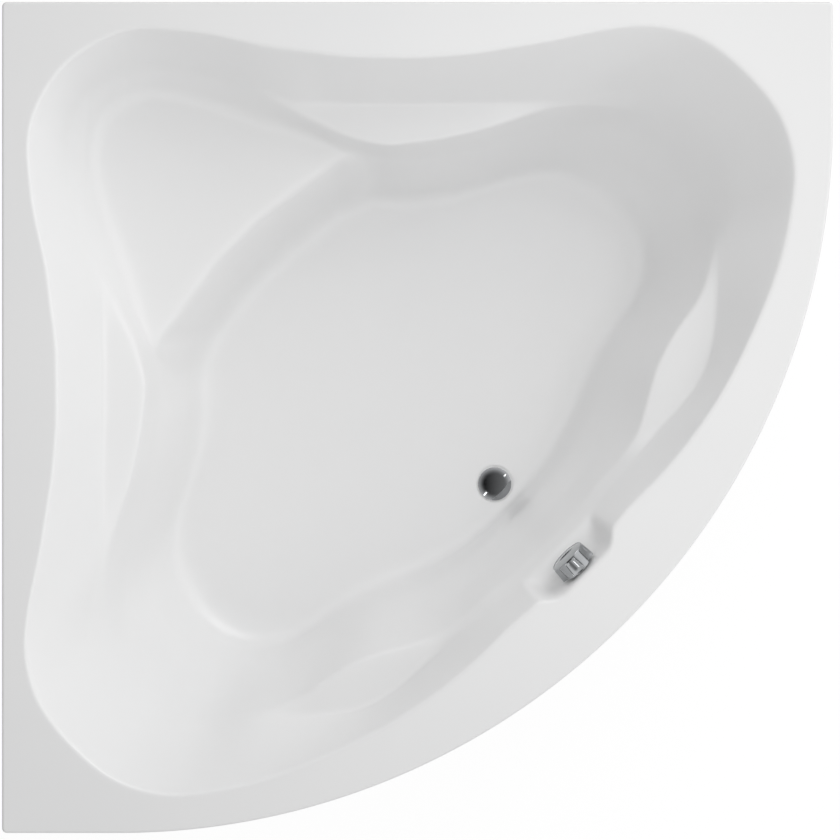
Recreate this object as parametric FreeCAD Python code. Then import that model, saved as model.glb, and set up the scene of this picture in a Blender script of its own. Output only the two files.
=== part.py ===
"""Corner bath, 1500 x 1500 mm, with its frame, front panel and pop-up waste.

The bath fills the corner between two walls and has a rounded front. All sizes
are millimetres. +Z is up and the floor is z = 0. The walls stand at x = -750
and y = +750, and the rounded front faces +X and -Y.

Most pieces are drawn in the corner frame (p, q, z): p runs along the diagonal
from the wall corner to the middle of the front, and q runs across it.
"""
import FreeCAD, Part
import math
import os

os.makedirs("parts", exist_ok=True)

V = FreeCAD.Vector

# ---------------------------------------------------------------- driving sizes
# Shell
SIDE = 1500.0            # bath along each wall
STUB = 212.0             # straight part of the front beside each wall
RIM_Z = 590.0            # top of the rim above the floor
DEPTH = 440.0            # rim to basin floor
ACRYLIC = 5.0            # thickness of the acrylic shell
GLASSFIBRE = 3.0         # thickness of the glass fibre backing
LIP = 40.0               # height of the turned-down outer lip
LIP_CORNER = 9.0         # plan radius of the rim's three square corners
LIP_ROUND = 4.0          # round on the outer top edge of the rim

CENTRE_P = 850.0         # pole of the basin's polar sections, on the diagonal
HALF_COLUMNS = 80        # sections from the front to the wall corner
FRONT_CROWDING = 1.6     # more than 1 crowds the sections towards the front

# Basin lines as (angle from the front in degrees, radius from the pole).
RIM_EDGE = ((0, 600), (13, 611), (22, 640), (42, 733), (60, 851), (66, 887), (71, 896),
            (78, 878), (84, 851), (90, 792), (95, 712), (100, 643), (111, 553),
            (122, 513), (132, 502), (146, 526), (162, 616), (170, 670), (180, 690))
ARM_CREASE = ((0, 556), (14, 566), (22, 585), (29, 613), (34, 644), (41, 678), (50, 694),
              (56, 705), (64, 760), (71, 773), (78, 748), (85, 695), (91, 590),
              (100, 514), (109, 468), (119, 436), (131, 421), (143, 425), (150, 456),
              (158, 520), (166, 585), (173, 632), (180, 648))
ARM_LIP = ((0, 535), (14, 542), (22, 562), (28, 575), (33, 577), (38, 582), (43, 600),
           (47, 626), (51, 664), (56, 692), (64, 728), (71, 733), (78, 706), (85, 645),
           (91, 572), (97, 482), (103, 426), (111, 382), (122, 353), (131, 358),
           (139, 380), (144, 402), (150, 436), (158, 500), (166, 565), (173, 615),
           (180, 632))
SEAT_BACK = ((0, 497), (28, 530), (38, 540), (51, 618), (56, 650), (64, 688), (71, 690),
             (78, 660), (85, 598), (91, 505), (97, 430), (103, 385), (111, 350),
             (122, 332), (132, 338), (140, 365), (148, 392), (154, 422), (164, 502),
             (173, 580), (180, 600))
SEAT_LIP = ((0, 462), (28, 487), (38, 504), (51, 578), (56, 608), (64, 628), (71, 625),
            (78, 590), (85, 530), (91, 440), (97, 378), (103, 338), (111, 310),
            (122, 302), (132, 317), (140, 292), (148, 273), (158, 258), (180, 246))
FLOOR_EDGE = ((0, 440), (18, 446), (34, 458), (42, 479), (48, 515), (54, 558), (60, 574),
              (66, 566), (77, 521), (82, 490), (86, 447), (91, 377), (98, 316),
              (109, 272), (121, 256), (135, 226), (154, 191), (180, 176))

# Depth of the ledge lines below the rim, as (angle, depth).
ARM_CREASE_DEPTH = ((0, 105), (20, 120), (29, 150), (42, 152), (56, 160), (66, 165),
                    (85, 165), (100, 152), (143, 150), (158, 120), (180, 95))
ARM_LIP_DEPTH = ((0, 150), (29, 158), (42, 160), (56, 172), (66, 225), (80, 225),
                 (91, 174), (100, 162), (144, 160), (158, 152), (180, 150))
SEAT_BACK_DEPTH = ((0, 260), (56, 268), (64, 290), (80, 290), (91, 275), (122, 262),
                   (132, 232), (140, 226), (180, 222))
SEAT_LIP_DEPTH = ((0, 350), (56, 355), (64, 370), (80, 370), (91, 360), (120, 350),
                  (132, 243), (140, 237), (180, 234))

# Distance from each line to the poles beside it, which sets how round it is.
RIM_ROUND = 11.0
CREASE_ROUND = 12.0
SEAT_ROUND = 18.0
FLOOR_ROUND = 38.0

# Recess in the front wall that holds the overflow control
WASTE_SIDE = 14.0        # waste and overflow stand this far off the diagonal
RECESS_DEPTH = 22.0      # behind the basin's edge, at the rim
RECESS_HALF = 88.0
RECESS_END = 26.0        # length of each rounded end
RECESS_TILT = 13.0       # degrees between the recess face and the vertical
RECESS_TOP = 36.0        # depth where its face leaves the round below the rim
RECESS_FOOT = 95.0       # depth of the foot of the recess face
RECESS_SILL = 100.0      # depth where its sill meets the wall

# Base board and frame
BOARD_THICK = 18.0
BOARD_MARGIN = 62.0      # board edge inside the basin's floor line
BOARD_POINTS = 28
SCREW_RADIUS = 2.5
SCREW_HEAD = 5.0
SCREW_HEAD_THICK = 3.0
SCREW_COVER = 4.0        # board left above a screw's hole
TUBE = 30.0
TUBE_WALL = 2.0
RAIL_Q = 300.0           # the two long rails stand this far off the diagonal
RAIL_START = 430.0
RAIL_END = 1495.0
CROSS_REAR_P = 620.0
CROSS_MID_P = 900.0
POST_P = 1468.0
POST_CAP = 12.0          # flange of the plastic cap on each post
CAP_SLACK = 0.2
BOARD_SCREWS = (
    (CROSS_MID_P, -200.0), (CROSS_MID_P, 200.0), (CROSS_MID_P, -80.0), (CROSS_MID_P, 80.0),
    (1040.0, -RAIL_Q), (1040.0, RAIL_Q), (1120.0, -RAIL_Q), (1120.0, RAIL_Q),
)

# Levelling feet
FOOT_PLACES = (
    (470.0, -RAIL_Q), (470.0, RAIL_Q), (1425.0, -RAIL_Q), (1425.0, RAIL_Q), (CROSS_MID_P, 0.0),
)
ROD_RADIUS = 6.0
ROD_ABOVE = 14.0         # rod above the underside of the rail
PAD_RADIUS = 27.0
PAD_HEIGHT = 14.0
PAD_NECK = 9.6
NUT_ACROSS = 19.0
NUT_THICK = 10.0
LOCK_NUT_DROP = 26.0     # from the welded nut down to the lock nut
SLIDE_FIT = 0.05         # radial clearance of rods, pins and spindles in their guides

# Wall battens and brackets
BATTEN_START = 430.0
BATTEN_END = 970.0
BATTEN_WIDE = 40.0
BATTEN_HIGH = 20.0
BRACKET_AT = (520.0, 880.0)
BRACKET_WIDE = 40.0
BRACKET_THICK = 3.0
BRACKET_LEG = 60.0
BRACKET_HOLE = 3.0

# Front panel
PANEL_INSET = 7.0
PANEL_THICK = 4.0
PANEL_TOP = 583.0
PANEL_BOTTOM = 4.0
PLINTH_TOP = 92.0
PLINTH_STEP = 13.0
PANEL_END = 12.0         # gap between the panel's ends and the walls
PANEL_GAP = 1.0          # gap between the panel and what stands behind it
CLIP_ANGLES = (-36.0, -12.0, 12.0, 36.0)
CLIP_WIDE = 30.0
CLIP_THICK = 1.5
CLIP_DROP = 24.0
CLIP_REACH = 30.0
STAY_THICK = 3.0
STAY_WIDE = 25.0

# Waste and plug
WASTE_P = 1245.0
WASTE_BORE = 26.0        # radius of the hole in the basin floor
WASTE_DISH = 34.0        # radius of the shallow dish around the waste
DISH_DEEP = 1.5
FLANGE_RADIUS = 29.0
FLANGE_THICK = 2.0
FLANGE_ROUND = 0.8
NECK_FIT = 0.5
STRAINER_BORE = 22.5
STRAINER_DEEP = 20.0
STRAINER_HUB = 7.0
STRAINER_THICK = 5.0
SPOKE_WIDE = 3.0
SEAL_RADIUS = 38.0
SEAL_THICK = 3.0
CAP_RADIUS = 30.0
CAP_EDGE = 1.4
CAP_CROWN = 5.0
HUB_RADIUS = 12.0
HUB_DEEP = 5.0
PLUG_SEAL_THICK = 3.0
STEM_RADIUS = 3.0
STEM_LENGTH = 40.0
PIN_RADIUS = 4.0
PIN_BELOW = 12.0         # lift pin below its guide
CLEAR = 0.3              # gap between moving pieces that don't guide each other

BODY_OUTER = 36.0
BODY_INNER = 32.5
BODY_FLANGE = 42.0
BODY_FLANGE_THICK = 5.0
BODY_Z = 66.0
GUIDE_RADIUS = 8.0
GUIDE_THICK = 8.0
CUP_Z = 24.0
CUP_WALL = 3.0
TRAP_NUT_OUT = 41.0
TRAP_NUT_BELOW = 11.0
TRAP_NUT_ABOVE = 3.0
NUT_FIT = 0.1
PORT_END = 62.0          # end of a side port from the waste's axis
OUTLET_Z = 92.0
OUTLET_RADIUS = 20.0     # 40 mm waste pipe
OUTLET_BORE = 18.0
COLLAR_RADIUS = 22.0     # outlet port, and the pipe's collar inside its nut
COLLAR_LONG = 22.0
SPIGOT_LONG = 60.0
OUTLET_NUT_OUT = 28.0
OUTLET_NUT_BEHIND = 8.0
OUTLET_NUT_LONG = 24.0

# Overflow and its control
KNOB_RADIUS = 37.5       # at its back
KNOB_FRONT = 34.5        # at its front
KNOB_THICK = 31.0
KNOB_BAND = 3.5          # plain band between the face and the finger grips
KNOB_ROUND = 1.2
KNOB_DROP = 43.0         # knob centre below the rim
KNOB_GAP = 4.5           # recess face to the back of the knob
KNOB_FLUTES = 6
FLUTE_RADIUS = 20.0
FLUTE_DEEP = 5.0
FLUTE_TURN = -6.0        # degrees from the top to the nearest grip
CROWN_RADIUS = 200.0
CROWN_RISE = 2.0
CROWN_MARGIN = 2.0
KNOB_HUB_GAP = 3.4       # recess face to the back of the knob's hub
SPINDLE_RADIUS = 4.0
SPINDLE_IN_KNOB = 10.0
SPINDLE_BEHIND = 8.0
LEVER_LONG = 13.0
LEVER_THICK = 5.0
LEVER_HIGH = 6.0
FACE_RADIUS = 27.0
FACE_THICK = 1.5
FACE_STAND = 1.4         # the flat plate clears the curved recess face
SLOTS = 6
SLOT_RADIUS = 3.5
SLOT_CIRCLE = 14.0
OVERFLOW_BORE = 22.0     # radius of the hole in the recess
OVERFLOW_FLANGE = 34.0
OVERFLOW_NECK = 21.0
OVERFLOW_INNER = 18.0
OVERFLOW_LONG = 30.0
OVERFLOW_WALL = 3.0
WALL_CURVE = 1.4         # gap behind the wall, allowing for its curve

# Overflow hose and control cable
HOSE_Z = 105.0
HOSE_RADIUS = 14.0
HOSE_BORE = 11.5
PORT_DROP = 26.0
PORT_OVERLAP = 6.0       # port inside the overflow body
CABLE_RADIUS = 3.5
CABLE_BORE = 2.0
CABLE_ASIDE = 20.0       # control cable beside the hose
CABLE_PORT = 48.0
GLAND_RADIUS = 5.0
GLAND_DROP = 26.0

# ---------------------------------------------------------------- worked out
FLOOR_Z = RIM_Z - DEPTH
SKIN = ACRYLIC + GLASSFIBRE
BOARD_Z = FLOOR_Z - SKIN - BOARD_THICK
RAIL_Z = BOARD_Z - TUBE
FRONT_RADIUS = SIDE - STUB
ARC_P = STUB * math.sqrt(2)
TILT = math.radians(RECESS_TILT)
CORNER = FreeCAD.Placement(V(-SIDE / 2, SIDE / 2, 0), FreeCAD.Rotation(V(0, 0, 1), -45))
ALONG_P = V(1, 0, 0)
ALONG_Q = V(0, 1, 0)
UP = V(0, 0, 1)


# ---------------------------------------------------------------- common shapes
def export(name, shape):
    """Write one piece, after checking that it is sound."""
    if not shape.isValid():
        print("NOT VALID", name)
    print(f"{name:28s} {len(shape.Solids):3d} solid {shape.Volume / 1000:12.1f} cm3")
    shape.exportStep(f"parts/{name}.step")


def place(shape):
    """Move a piece from the corner frame (p, q, z) to the bath's own frame."""
    moved = shape.copy()
    moved.Placement = CORNER.multiply(moved.Placement)
    return moved


def unplace(shape):
    """Move a piece from the bath's own frame to the corner frame."""
    moved = shape.copy()
    moved.Placement = CORNER.inverse().multiply(moved.Placement)
    return moved


def group(shapes):
    """Several like pieces as one compound."""
    return Part.makeCompound(shapes)


def cylinder(radius, height, base, axis=UP):
    return Part.makeCylinder(radius, height, base, axis)


def ring(outer, inner, height, base, axis=UP):
    return cylinder(outer, height, base, axis).cut(cylinder(inner, height, base, axis))


def box(p, q, z):
    """Box from three (low, high) pairs."""
    return Part.makeBox(p[1] - p[0], q[1] - q[0], z[1] - z[0], V(p[0], q[0], z[0]))


def hexagon(across, height, base):
    """Hexagonal prism, the blank of a nut."""
    radius = across / math.sqrt(3)
    corners = []
    for k in range(7):
        turn = math.radians(60 * k)
        corners.append(base + V(radius * math.cos(turn), radius * math.sin(turn), 0))
    return Part.Face(Part.makePolygon(corners)).extrude(V(0, 0, height))


# ---------------------------------------------------------------- plan outline
def plan(a, b, z):
    """Point at distance a from the left wall and b from the back wall."""
    return V(a - SIDE / 2, SIDE / 2 - b, z)


def arc(start, middle, end):
    return Part.Arc(start, middle, end).toShape()


def front_arc(inset, z, a_first=True):
    """The rounded front as one arc, moved inwards by inset."""
    high = SIDE - inset
    half = STUB + (FRONT_RADIUS - inset) / math.sqrt(2)
    ends = [plan(high, STUB, z), plan(STUB, high, z)]
    if not a_first:
        ends.reverse()
    return arc(ends[0], plan(half, half, z), ends[1])


def outline(inset, z, corner):
    """Closed outline of the rim, moved inwards by inset."""
    low = inset
    high = SIDE - inset
    bend = corner * (1 - math.sqrt(0.5))
    edges = [
        Part.makeLine(plan(low + corner, low, z), plan(high - corner, low, z)),
        arc(plan(high - corner, low, z), plan(high - bend, low + bend, z),
            plan(high, low + corner, z)),
        Part.makeLine(plan(high, low + corner, z), plan(high, STUB, z)),
        front_arc(inset, z),
        Part.makeLine(plan(STUB, high, z), plan(low + corner, high, z)),
        arc(plan(low + corner, high, z), plan(low + bend, high - bend, z),
            plan(low, high - corner, z)),
        Part.makeLine(plan(low, high - corner, z), plan(low, low + corner, z)),
        arc(plan(low, low + corner, z), plan(low + bend, low + bend, z),
            plan(low + corner, low, z)),
    ]
    return Part.Wire(edges)


def front_band(inset, thick, bottom, top):
    """Upright band that follows the front from wall to wall."""
    near = inset + thick
    outer = SIDE - inset
    inner = SIDE - near
    edges = [
        Part.makeLine(plan(outer, PANEL_END, bottom), plan(outer, STUB, bottom)),
        front_arc(inset, bottom),
        Part.makeLine(plan(STUB, outer, bottom), plan(PANEL_END, outer, bottom)),
        Part.makeLine(plan(PANEL_END, outer, bottom), plan(PANEL_END, inner, bottom)),
        Part.makeLine(plan(PANEL_END, inner, bottom), plan(STUB, inner, bottom)),
        front_arc(near, bottom, a_first=False),
        Part.makeLine(plan(inner, STUB, bottom), plan(inner, PANEL_END, bottom)),
        Part.makeLine(plan(inner, PANEL_END, bottom), plan(outer, PANEL_END, bottom)),
    ]
    return Part.Face(Part.Wire(edges)).extrude(V(0, 0, top - bottom))


# ---------------------------------------------------------------- basin surface
def along(line, angle):
    """Smooth value of a line at an angle, even about the front and the corner."""
    last = len(line) - 1
    k = 0
    while k < last - 1 and angle > line[k + 1][0]:
        k += 1
    (x0, y0), (x1, y1) = line[k], line[k + 1]
    step = x1 - x0
    rise = (y1 - y0) / step

    def slope(i):
        if i in (0, last):
            return 0.0
        left = (line[i][1] - line[i - 1][1]) / (line[i][0] - line[i - 1][0])
        right = (line[i + 1][1] - line[i][1]) / (line[i + 1][0] - line[i][0])
        if left * right <= 0:
            return 0.0
        return 2 * left * right / (left + right)

    t = (angle - x0) / step
    bend0 = slope(k) - rise
    bend1 = rise - slope(k + 1)
    return y0 + rise * (angle - x0) + step * t * (1 - t) * (bend0 * (1 - t) + bend1 * t)


def section_lines(angle):
    """The six corners of one section, as (radius, depth) from rim to floor."""
    return [
        (along(RIM_EDGE, angle), 0.0),
        (along(ARM_CREASE, angle), along(ARM_CREASE_DEPTH, angle)),
        (along(ARM_LIP, angle), along(ARM_LIP_DEPTH, angle)),
        (along(SEAT_BACK, angle), along(SEAT_BACK_DEPTH, angle)),
        (along(SEAT_LIP, angle), along(SEAT_LIP_DEPTH, angle)),
        (along(FLOOR_EDGE, angle), DEPTH),
    ]


def towards(start, end, distance):
    """Point on the way from start to end, at most 0.4 of the way."""
    length = math.hypot(end[0] - start[0], end[1] - start[1])
    share = min(distance / length, 0.4)
    return (start[0] + share * (end[0] - start[0]), start[1] + share * (end[1] - start[1]))


def section_poles(angle, side):
    """Poles of one section: each corner with a pole before and after it."""
    corners = section_lines(abs(angle))
    rounds = [RIM_ROUND, CREASE_ROUND, CREASE_ROUND, SEAT_ROUND, SEAT_ROUND, FLOOR_ROUND]
    first = (corners[0][0] + RIM_ROUND, 0.0)
    last = (corners[-1][0] - FLOOR_ROUND, DEPTH)
    chain = [first] + corners + [last]
    poles = []
    for k, size in enumerate(rounds, start=1):
        poles.append(first if k == 1 else towards(chain[k], chain[k - 1], size))
        poles.append(chain[k])
        poles.append(last if k == len(rounds) else towards(chain[k], chain[k + 1], size))
    return recess(poles, side)


def recess(poles, side):
    """Push the top of a front section outwards to form the overflow recess."""
    reach = (RECESS_HALF - abs(side - WASTE_SIDE)) / RECESS_END
    near = min(max(reach, 0.0), 1.0)
    share = math.sqrt(near * (2 - near))
    edge = poles[1][0]
    crease, crease_depth = poles[4]

    def face(depth):
        return edge + RECESS_DEPTH - math.tan(TILT) * depth

    goals = [
        (face(0) + RIM_ROUND, 0.0),
        (face(0), 0.0),
        (face(RECESS_TOP), RECESS_TOP),
        (face(RECESS_FOOT), RECESS_FOOT),
        (edge + (crease - edge) * RECESS_SILL / crease_depth, RECESS_SILL),
    ]
    for k, (radius, depth) in enumerate(goals):
        old_radius, old_depth = poles[k]
        poles[k] = (old_radius + share * (radius - old_radius),
                    old_depth + share * (depth - old_depth))
    return poles


def basin_poles():
    """Grid of poles, one row from rim to floor for each section, in p, q, z."""
    columns = []
    for step in range(1 - HALF_COLUMNS, HALF_COLUMNS + 1):
        share = abs(step) / HALF_COLUMNS
        angle = math.copysign(180.0 * share ** FRONT_CROWDING, step)
        turn = math.radians(angle)
        side = along(RIM_EDGE, abs(angle)) * math.sin(turn)
        if abs(angle) > 90:
            side = SIDE
        column = []
        for radius, depth in section_poles(angle, side):
            column.append(V(CENTRE_P + radius * math.cos(turn), radius * math.sin(turn),
                            RIM_Z - depth))
        columns.append(column)
    return columns


def offset_poles(columns, distance):
    """The same grid moved away from the inside of the basin."""
    count = len(columns)
    rows = len(columns[0])
    moved = []
    for j, column in enumerate(columns):
        line = []
        for i in range(rows):
            across = columns[(j + 1) % count][i] - columns[j - 1][i]
            normals = []
            for k in (i - 1, i):
                if 0 <= k < rows - 1:
                    normal = across.cross(column[k + 1] - column[k])
                    normals.append(normal.normalize())
            middle = (normals[0] + normals[-1]).normalize()
            if i in (0, rows - 1):
                middle = V(0, 0, 1)
            mitre = max(middle.dot(normals[0]), 0.7)
            line.append(column[i] - middle * (distance / mitre))
        moved.append(line)
    return moved


def skin_face(columns):
    """Smooth face through the grid: cubic both ways and closed around."""
    rows = len(columns[0])
    count = len(columns)
    poles = [[column[i] for column in columns] for i in range(rows)]
    surface = Part.BSplineSurface()
    down = rows - 2
    surface.buildFromPolesMultsKnots(
        poles, [4] + [1] * (down - 2) + [4], [1] * (count + 1),
        [float(k) for k in range(down)], [float(k) for k in range(count + 1)],
        False, True, 3, 3)
    return surface.toShape()


def level_edge(face, z):
    """The closed edge of a skin face that lies level at height z."""
    for edge in face.Edges:
        size = edge.BoundBox
        if abs(size.ZMin - z) < 0.01 and abs(size.ZMax - z) < 0.01:
            return edge
    raise ValueError(f"no edge at {z}")


def flat_face(*wires):
    """Flat face inside the first wire, with the others as holes."""
    return Part.makeFace(list(wires), "Part::FaceMakerBullseye")


def solid_from(shapes):
    faces = [face for shape in shapes for face in shape.Faces]
    solid = Part.makeSolid(Part.makeShell(faces))
    if solid.Volume < 0:
        solid.reverse()
    return solid


# ---------------------------------------------------------------- waste and overflow axes
def recess_face_p(drop):
    """p of the recess face at a depth below the rim."""
    return CENTRE_P + along(RIM_EDGE, 0) + RECESS_DEPTH - math.tan(TILT) * drop


OUT = V(-math.cos(TILT), 0, math.sin(TILT))     # out of the recess, along the knob's axis
OVERFLOW_POINT = V(recess_face_p(KNOB_DROP), WASTE_SIDE, RIM_Z - KNOB_DROP)


def on_axis(distance):
    """Point on the overflow axis, measured from the recess face into the basin."""
    return OVERFLOW_POINT + OUT * distance


def overflow_ring(outer, inner, start, end):
    return ring(outer, inner, end - start, on_axis(start), OUT)


def overflow_disc(radius, start, end):
    return cylinder(radius, end - start, on_axis(start), OUT)


def around_axis(radius, degrees):
    """Offset from the overflow axis, turned from its top towards +q."""
    top = OUT.cross(ALONG_Q) * -1
    turn = math.radians(degrees)
    return top * (radius * math.cos(turn)) + ALONG_Q * (radius * math.sin(turn))


def waste_at(z):
    return V(WASTE_P, WASTE_SIDE, z)


def waste_ring(outer, inner, low, high):
    return ring(outer, inner, high - low, waste_at(low))


def bored(solid):
    """Cut the waste and overflow holes through a skin."""
    floor_hole = cylinder(WASTE_BORE, 4 * SKIN, waste_at(FLOOR_Z - 2 * SKIN))
    return solid.cut(floor_hole).cut(overflow_disc(OVERFLOW_BORE, -3 * SKIN, 2 * SKIN))


# ---------------------------------------------------------------- shell
def make_tub_shell(inner, outer):
    """Acrylic shell: rim with a turned-down lip, basin walls, ledges and floor."""
    under = RIM_Z - ACRYLIC
    lip_z = RIM_Z - LIP
    corner_in = LIP_CORNER - ACRYLIC
    lip_outer = outline(0, lip_z, LIP_CORNER)
    lip_inner = outline(ACRYLIC, lip_z, corner_in)
    top_edge = Part.Wire([level_edge(inner, RIM_Z)])
    under_edge = Part.Wire([level_edge(outer, under)])
    solid = solid_from([
        flat_face(unplace(outline(0, RIM_Z, LIP_CORNER)), top_edge),
        inner,
        flat_face(Part.Wire([level_edge(inner, FLOOR_Z)])),
        unplace(lip_outer.extrude(V(0, 0, LIP))),
        flat_face(unplace(lip_outer), unplace(lip_inner)),
        unplace(lip_inner.extrude(V(0, 0, LIP - ACRYLIC))),
        flat_face(unplace(outline(ACRYLIC, under, corner_in)), under_edge),
        outer,
        flat_face(Part.Wire([level_edge(outer, FLOOR_Z - ACRYLIC)])),
    ])
    top_edges = [edge for edge in solid.Edges
                 if edge.BoundBox.ZMin > RIM_Z - 0.01
                 and type(edge.Curve).__name__ != "BSplineCurve"]
    rounded = solid.makeFillet(LIP_ROUND, top_edges)
    dish = cylinder(WASTE_DISH, 4 * SKIN, waste_at(FLOOR_Z - DISH_DEEP))
    return bored(rounded.cut(dish))


def make_backing(near, far):
    """Glass fibre laid on the underside of the basin."""
    band = Part.makeRuledSurface(level_edge(near, RIM_Z - ACRYLIC), level_edge(far, RIM_Z - SKIN))
    return bored(solid_from([
        near, far, band,
        flat_face(Part.Wire([level_edge(near, FLOOR_Z - ACRYLIC)])),
        flat_face(Part.Wire([level_edge(far, FLOOR_Z - SKIN)])),
    ]))


inner_grid = basin_poles()
inner_skin = skin_face(inner_grid)
outer_skin = skin_face(offset_poles(inner_grid, ACRYLIC))
back_skin = skin_face(offset_poles(inner_grid, SKIN))
export("tub_shell", place(make_tub_shell(inner_skin, outer_skin)))
export("glassfibre_backing", place(make_backing(outer_skin, back_skin)))


# ---------------------------------------------------------------- base board and frame
def make_board():
    """Chipboard panel bonded under the basin floor, cut away around the waste."""
    points = []
    for k in range(BOARD_POINTS):
        angle = -180.0 + 360.0 * k / BOARD_POINTS
        radius = along(FLOOR_EDGE, abs(angle)) - BOARD_MARGIN
        turn = math.radians(angle)
        points.append(V(CENTRE_P + radius * math.cos(turn), radius * math.sin(turn), BOARD_Z))
    curve = Part.BSplineCurve()
    curve.interpolate(points, PeriodicFlag=True)
    board = Part.Face(Part.Wire([curve.toShape()])).extrude(V(0, 0, BOARD_THICK))
    board = board.cut(cylinder(1.5 * BODY_FLANGE, BOARD_THICK, waste_at(BOARD_Z)))
    for p, q in BOARD_SCREWS:
        hole = cylinder(SCREW_RADIUS + NUT_FIT, BOARD_THICK - SCREW_COVER, V(p, q, BOARD_Z))
        board = board.cut(hole)
    return board


def drilled(rail):
    """Holes for the foot rods through the lower wall, and for screws through both."""
    for p, q in FOOT_PLACES:
        rail = rail.cut(cylinder(ROD_RADIUS + 1, TUBE_WALL + 2, V(p, q, RAIL_Z - 1)))
    for p, q in BOARD_SCREWS:
        rail = rail.cut(cylinder(SCREW_RADIUS + NUT_FIT, TUBE + 2, V(p, q, RAIL_Z - 1)))
    return rail


def square_tube(p, q, z, along_axis):
    """Square steel tube; along_axis is 0, 1 or 2 for p, q or z."""
    inner = [p, q, z]
    for axis in range(3):
        low, high = inner[axis]
        if axis == along_axis:
            inner[axis] = (low - 1, high + 1)
        else:
            inner[axis] = (low + TUBE_WALL, high - TUBE_WALL)
    return box(p, q, z).cut(box(*inner))


def across_tube(centre):
    return (centre - TUBE / 2, centre + TUBE / 2)


def long_rail(side):
    return drilled(square_tube((RAIL_START, RAIL_END), across_tube(side * RAIL_Q),
                               (RAIL_Z, BOARD_Z), 0))


def cross_rail(centre):
    reach = RAIL_Q - TUBE / 2
    return drilled(square_tube(across_tube(centre), (-reach, reach), (RAIL_Z, BOARD_Z), 1))


def post(side):
    return square_tube(across_tube(POST_P), across_tube(side * RAIL_Q),
                       (BOARD_Z, RIM_Z - ACRYLIC - POST_CAP), 2)


def post_cap(side):
    """Plastic plug in the top of a post, with a flange that carries the rim."""
    top = RIM_Z - ACRYLIC
    flange = box(across_tube(POST_P), across_tube(side * RAIL_Q), (top - POST_CAP, top))
    half = TUBE / 2 - TUBE_WALL - CAP_SLACK
    centre = side * RAIL_Q
    spigot = box((POST_P - half, POST_P + half), (centre - half, centre + half),
                 (top - 3 * POST_CAP, top - POST_CAP))
    return flange.fuse(spigot)


def board_screw(p, q):
    """Screw through a rail into the board."""
    head = cylinder(SCREW_HEAD, SCREW_HEAD_THICK, V(p, q, RAIL_Z - SCREW_HEAD_THICK))
    length = TUBE + BOARD_THICK - SCREW_COVER - 2
    return head.fuse(cylinder(SCREW_RADIUS, length, V(p, q, RAIL_Z)))


export("base_board", place(make_board()))
export("frame_rail_left", place(long_rail(-1)))
export("frame_rail_right", place(long_rail(1)))
export("frame_cross_rear", place(cross_rail(CROSS_REAR_P)))
export("frame_cross_middle", place(cross_rail(CROSS_MID_P)))
export("rim_post_left", place(post(-1)))
export("rim_post_right", place(post(1)))
export("post_caps", place(group([post_cap(-1), post_cap(1)])))
export("board_screws", place(group([board_screw(p, q) for p, q in BOARD_SCREWS])))


# ---------------------------------------------------------------- levelling feet
def foot_pad(p, q):
    """Moulded pad with a rounded top, under the rod."""
    half = PAD_HEIGHT / 2
    pad = cylinder(PAD_RADIUS, half, V(p, q, 0))
    cone = Part.makeCone(PAD_RADIUS, PAD_NECK, half, V(p, q, half))
    return pad.fuse(cone).cut(cylinder(ROD_RADIUS, PAD_HEIGHT, V(p, q, half)))


def foot_rod(p, q):
    start = PAD_HEIGHT / 2
    return cylinder(ROD_RADIUS, RAIL_Z + ROD_ABOVE - start, V(p, q, start))


def foot_nut(p, q, z, bore):
    base = V(p, q, z)
    return hexagon(NUT_ACROSS, NUT_THICK, base).cut(cylinder(bore, NUT_THICK, base))


def rail_nut(p, q):
    """Nut welded under a rail; the rod screws through it."""
    return foot_nut(p, q, RAIL_Z - NUT_THICK, ROD_RADIUS + SLIDE_FIT)


def lock_nut(p, q):
    return foot_nut(p, q, RAIL_Z - NUT_THICK - LOCK_NUT_DROP, ROD_RADIUS)


export("rail_nuts", place(group([rail_nut(p, q) for p, q in FOOT_PLACES])))
for number, (p, q) in enumerate(FOOT_PLACES, start=1):
    export(f"foot_pad_{number}", place(foot_pad(p, q)))
    export(f"foot_rod_{number}", place(foot_rod(p, q)))
    export(f"foot_lock_nut_{number}", place(lock_nut(p, q)))


# ---------------------------------------------------------------- wall battens and brackets
def swap_walls(shape):
    """Mirror a piece beside the left wall to the back wall."""
    return shape.mirror(V(0, 0, 0), V(1, 1, 0))


def wall_batten():
    """Timber under the rim beside the left wall."""
    start = plan(SKIN, BATTEN_END, RIM_Z - ACRYLIC - BATTEN_HIGH)
    return Part.makeBox(BATTEN_WIDE, BATTEN_END - BATTEN_START, BATTEN_HIGH, start)


def wall_bracket(distance):
    """Bent steel bracket: leg on the wall, web under the lip, riser on the batten."""
    web_z = RIM_Z - LIP - BRACKET_THICK
    riser = SKIN + BATTEN_WIDE
    b = distance + BRACKET_WIDE / 2
    leg = Part.makeBox(BRACKET_THICK, BRACKET_WIDE, BRACKET_LEG,
                       plan(0, b, web_z + BRACKET_THICK - BRACKET_LEG))
    web = Part.makeBox(riser + BRACKET_THICK, BRACKET_WIDE, BRACKET_THICK, plan(0, b, web_z))
    up = Part.makeBox(BRACKET_THICK, BRACKET_WIDE, LIP - ACRYLIC, plan(riser, b, web_z))
    shape = leg.fuse([web, up]).removeSplitter()
    hole = cylinder(BRACKET_HOLE, 3 * BRACKET_THICK,
                    plan(-BRACKET_THICK, distance, web_z - BRACKET_LEG / 2), V(1, 0, 0))
    return shape.cut(hole)


left_batten = wall_batten()
export("rim_batten_left", left_batten)
export("rim_batten_back", swap_walls(left_batten))
for number, distance in enumerate(BRACKET_AT, start=1):
    bracket = wall_bracket(distance)
    export(f"wall_bracket_left_{number}", bracket)
    export(f"wall_bracket_back_{number}", swap_walls(bracket))


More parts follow.
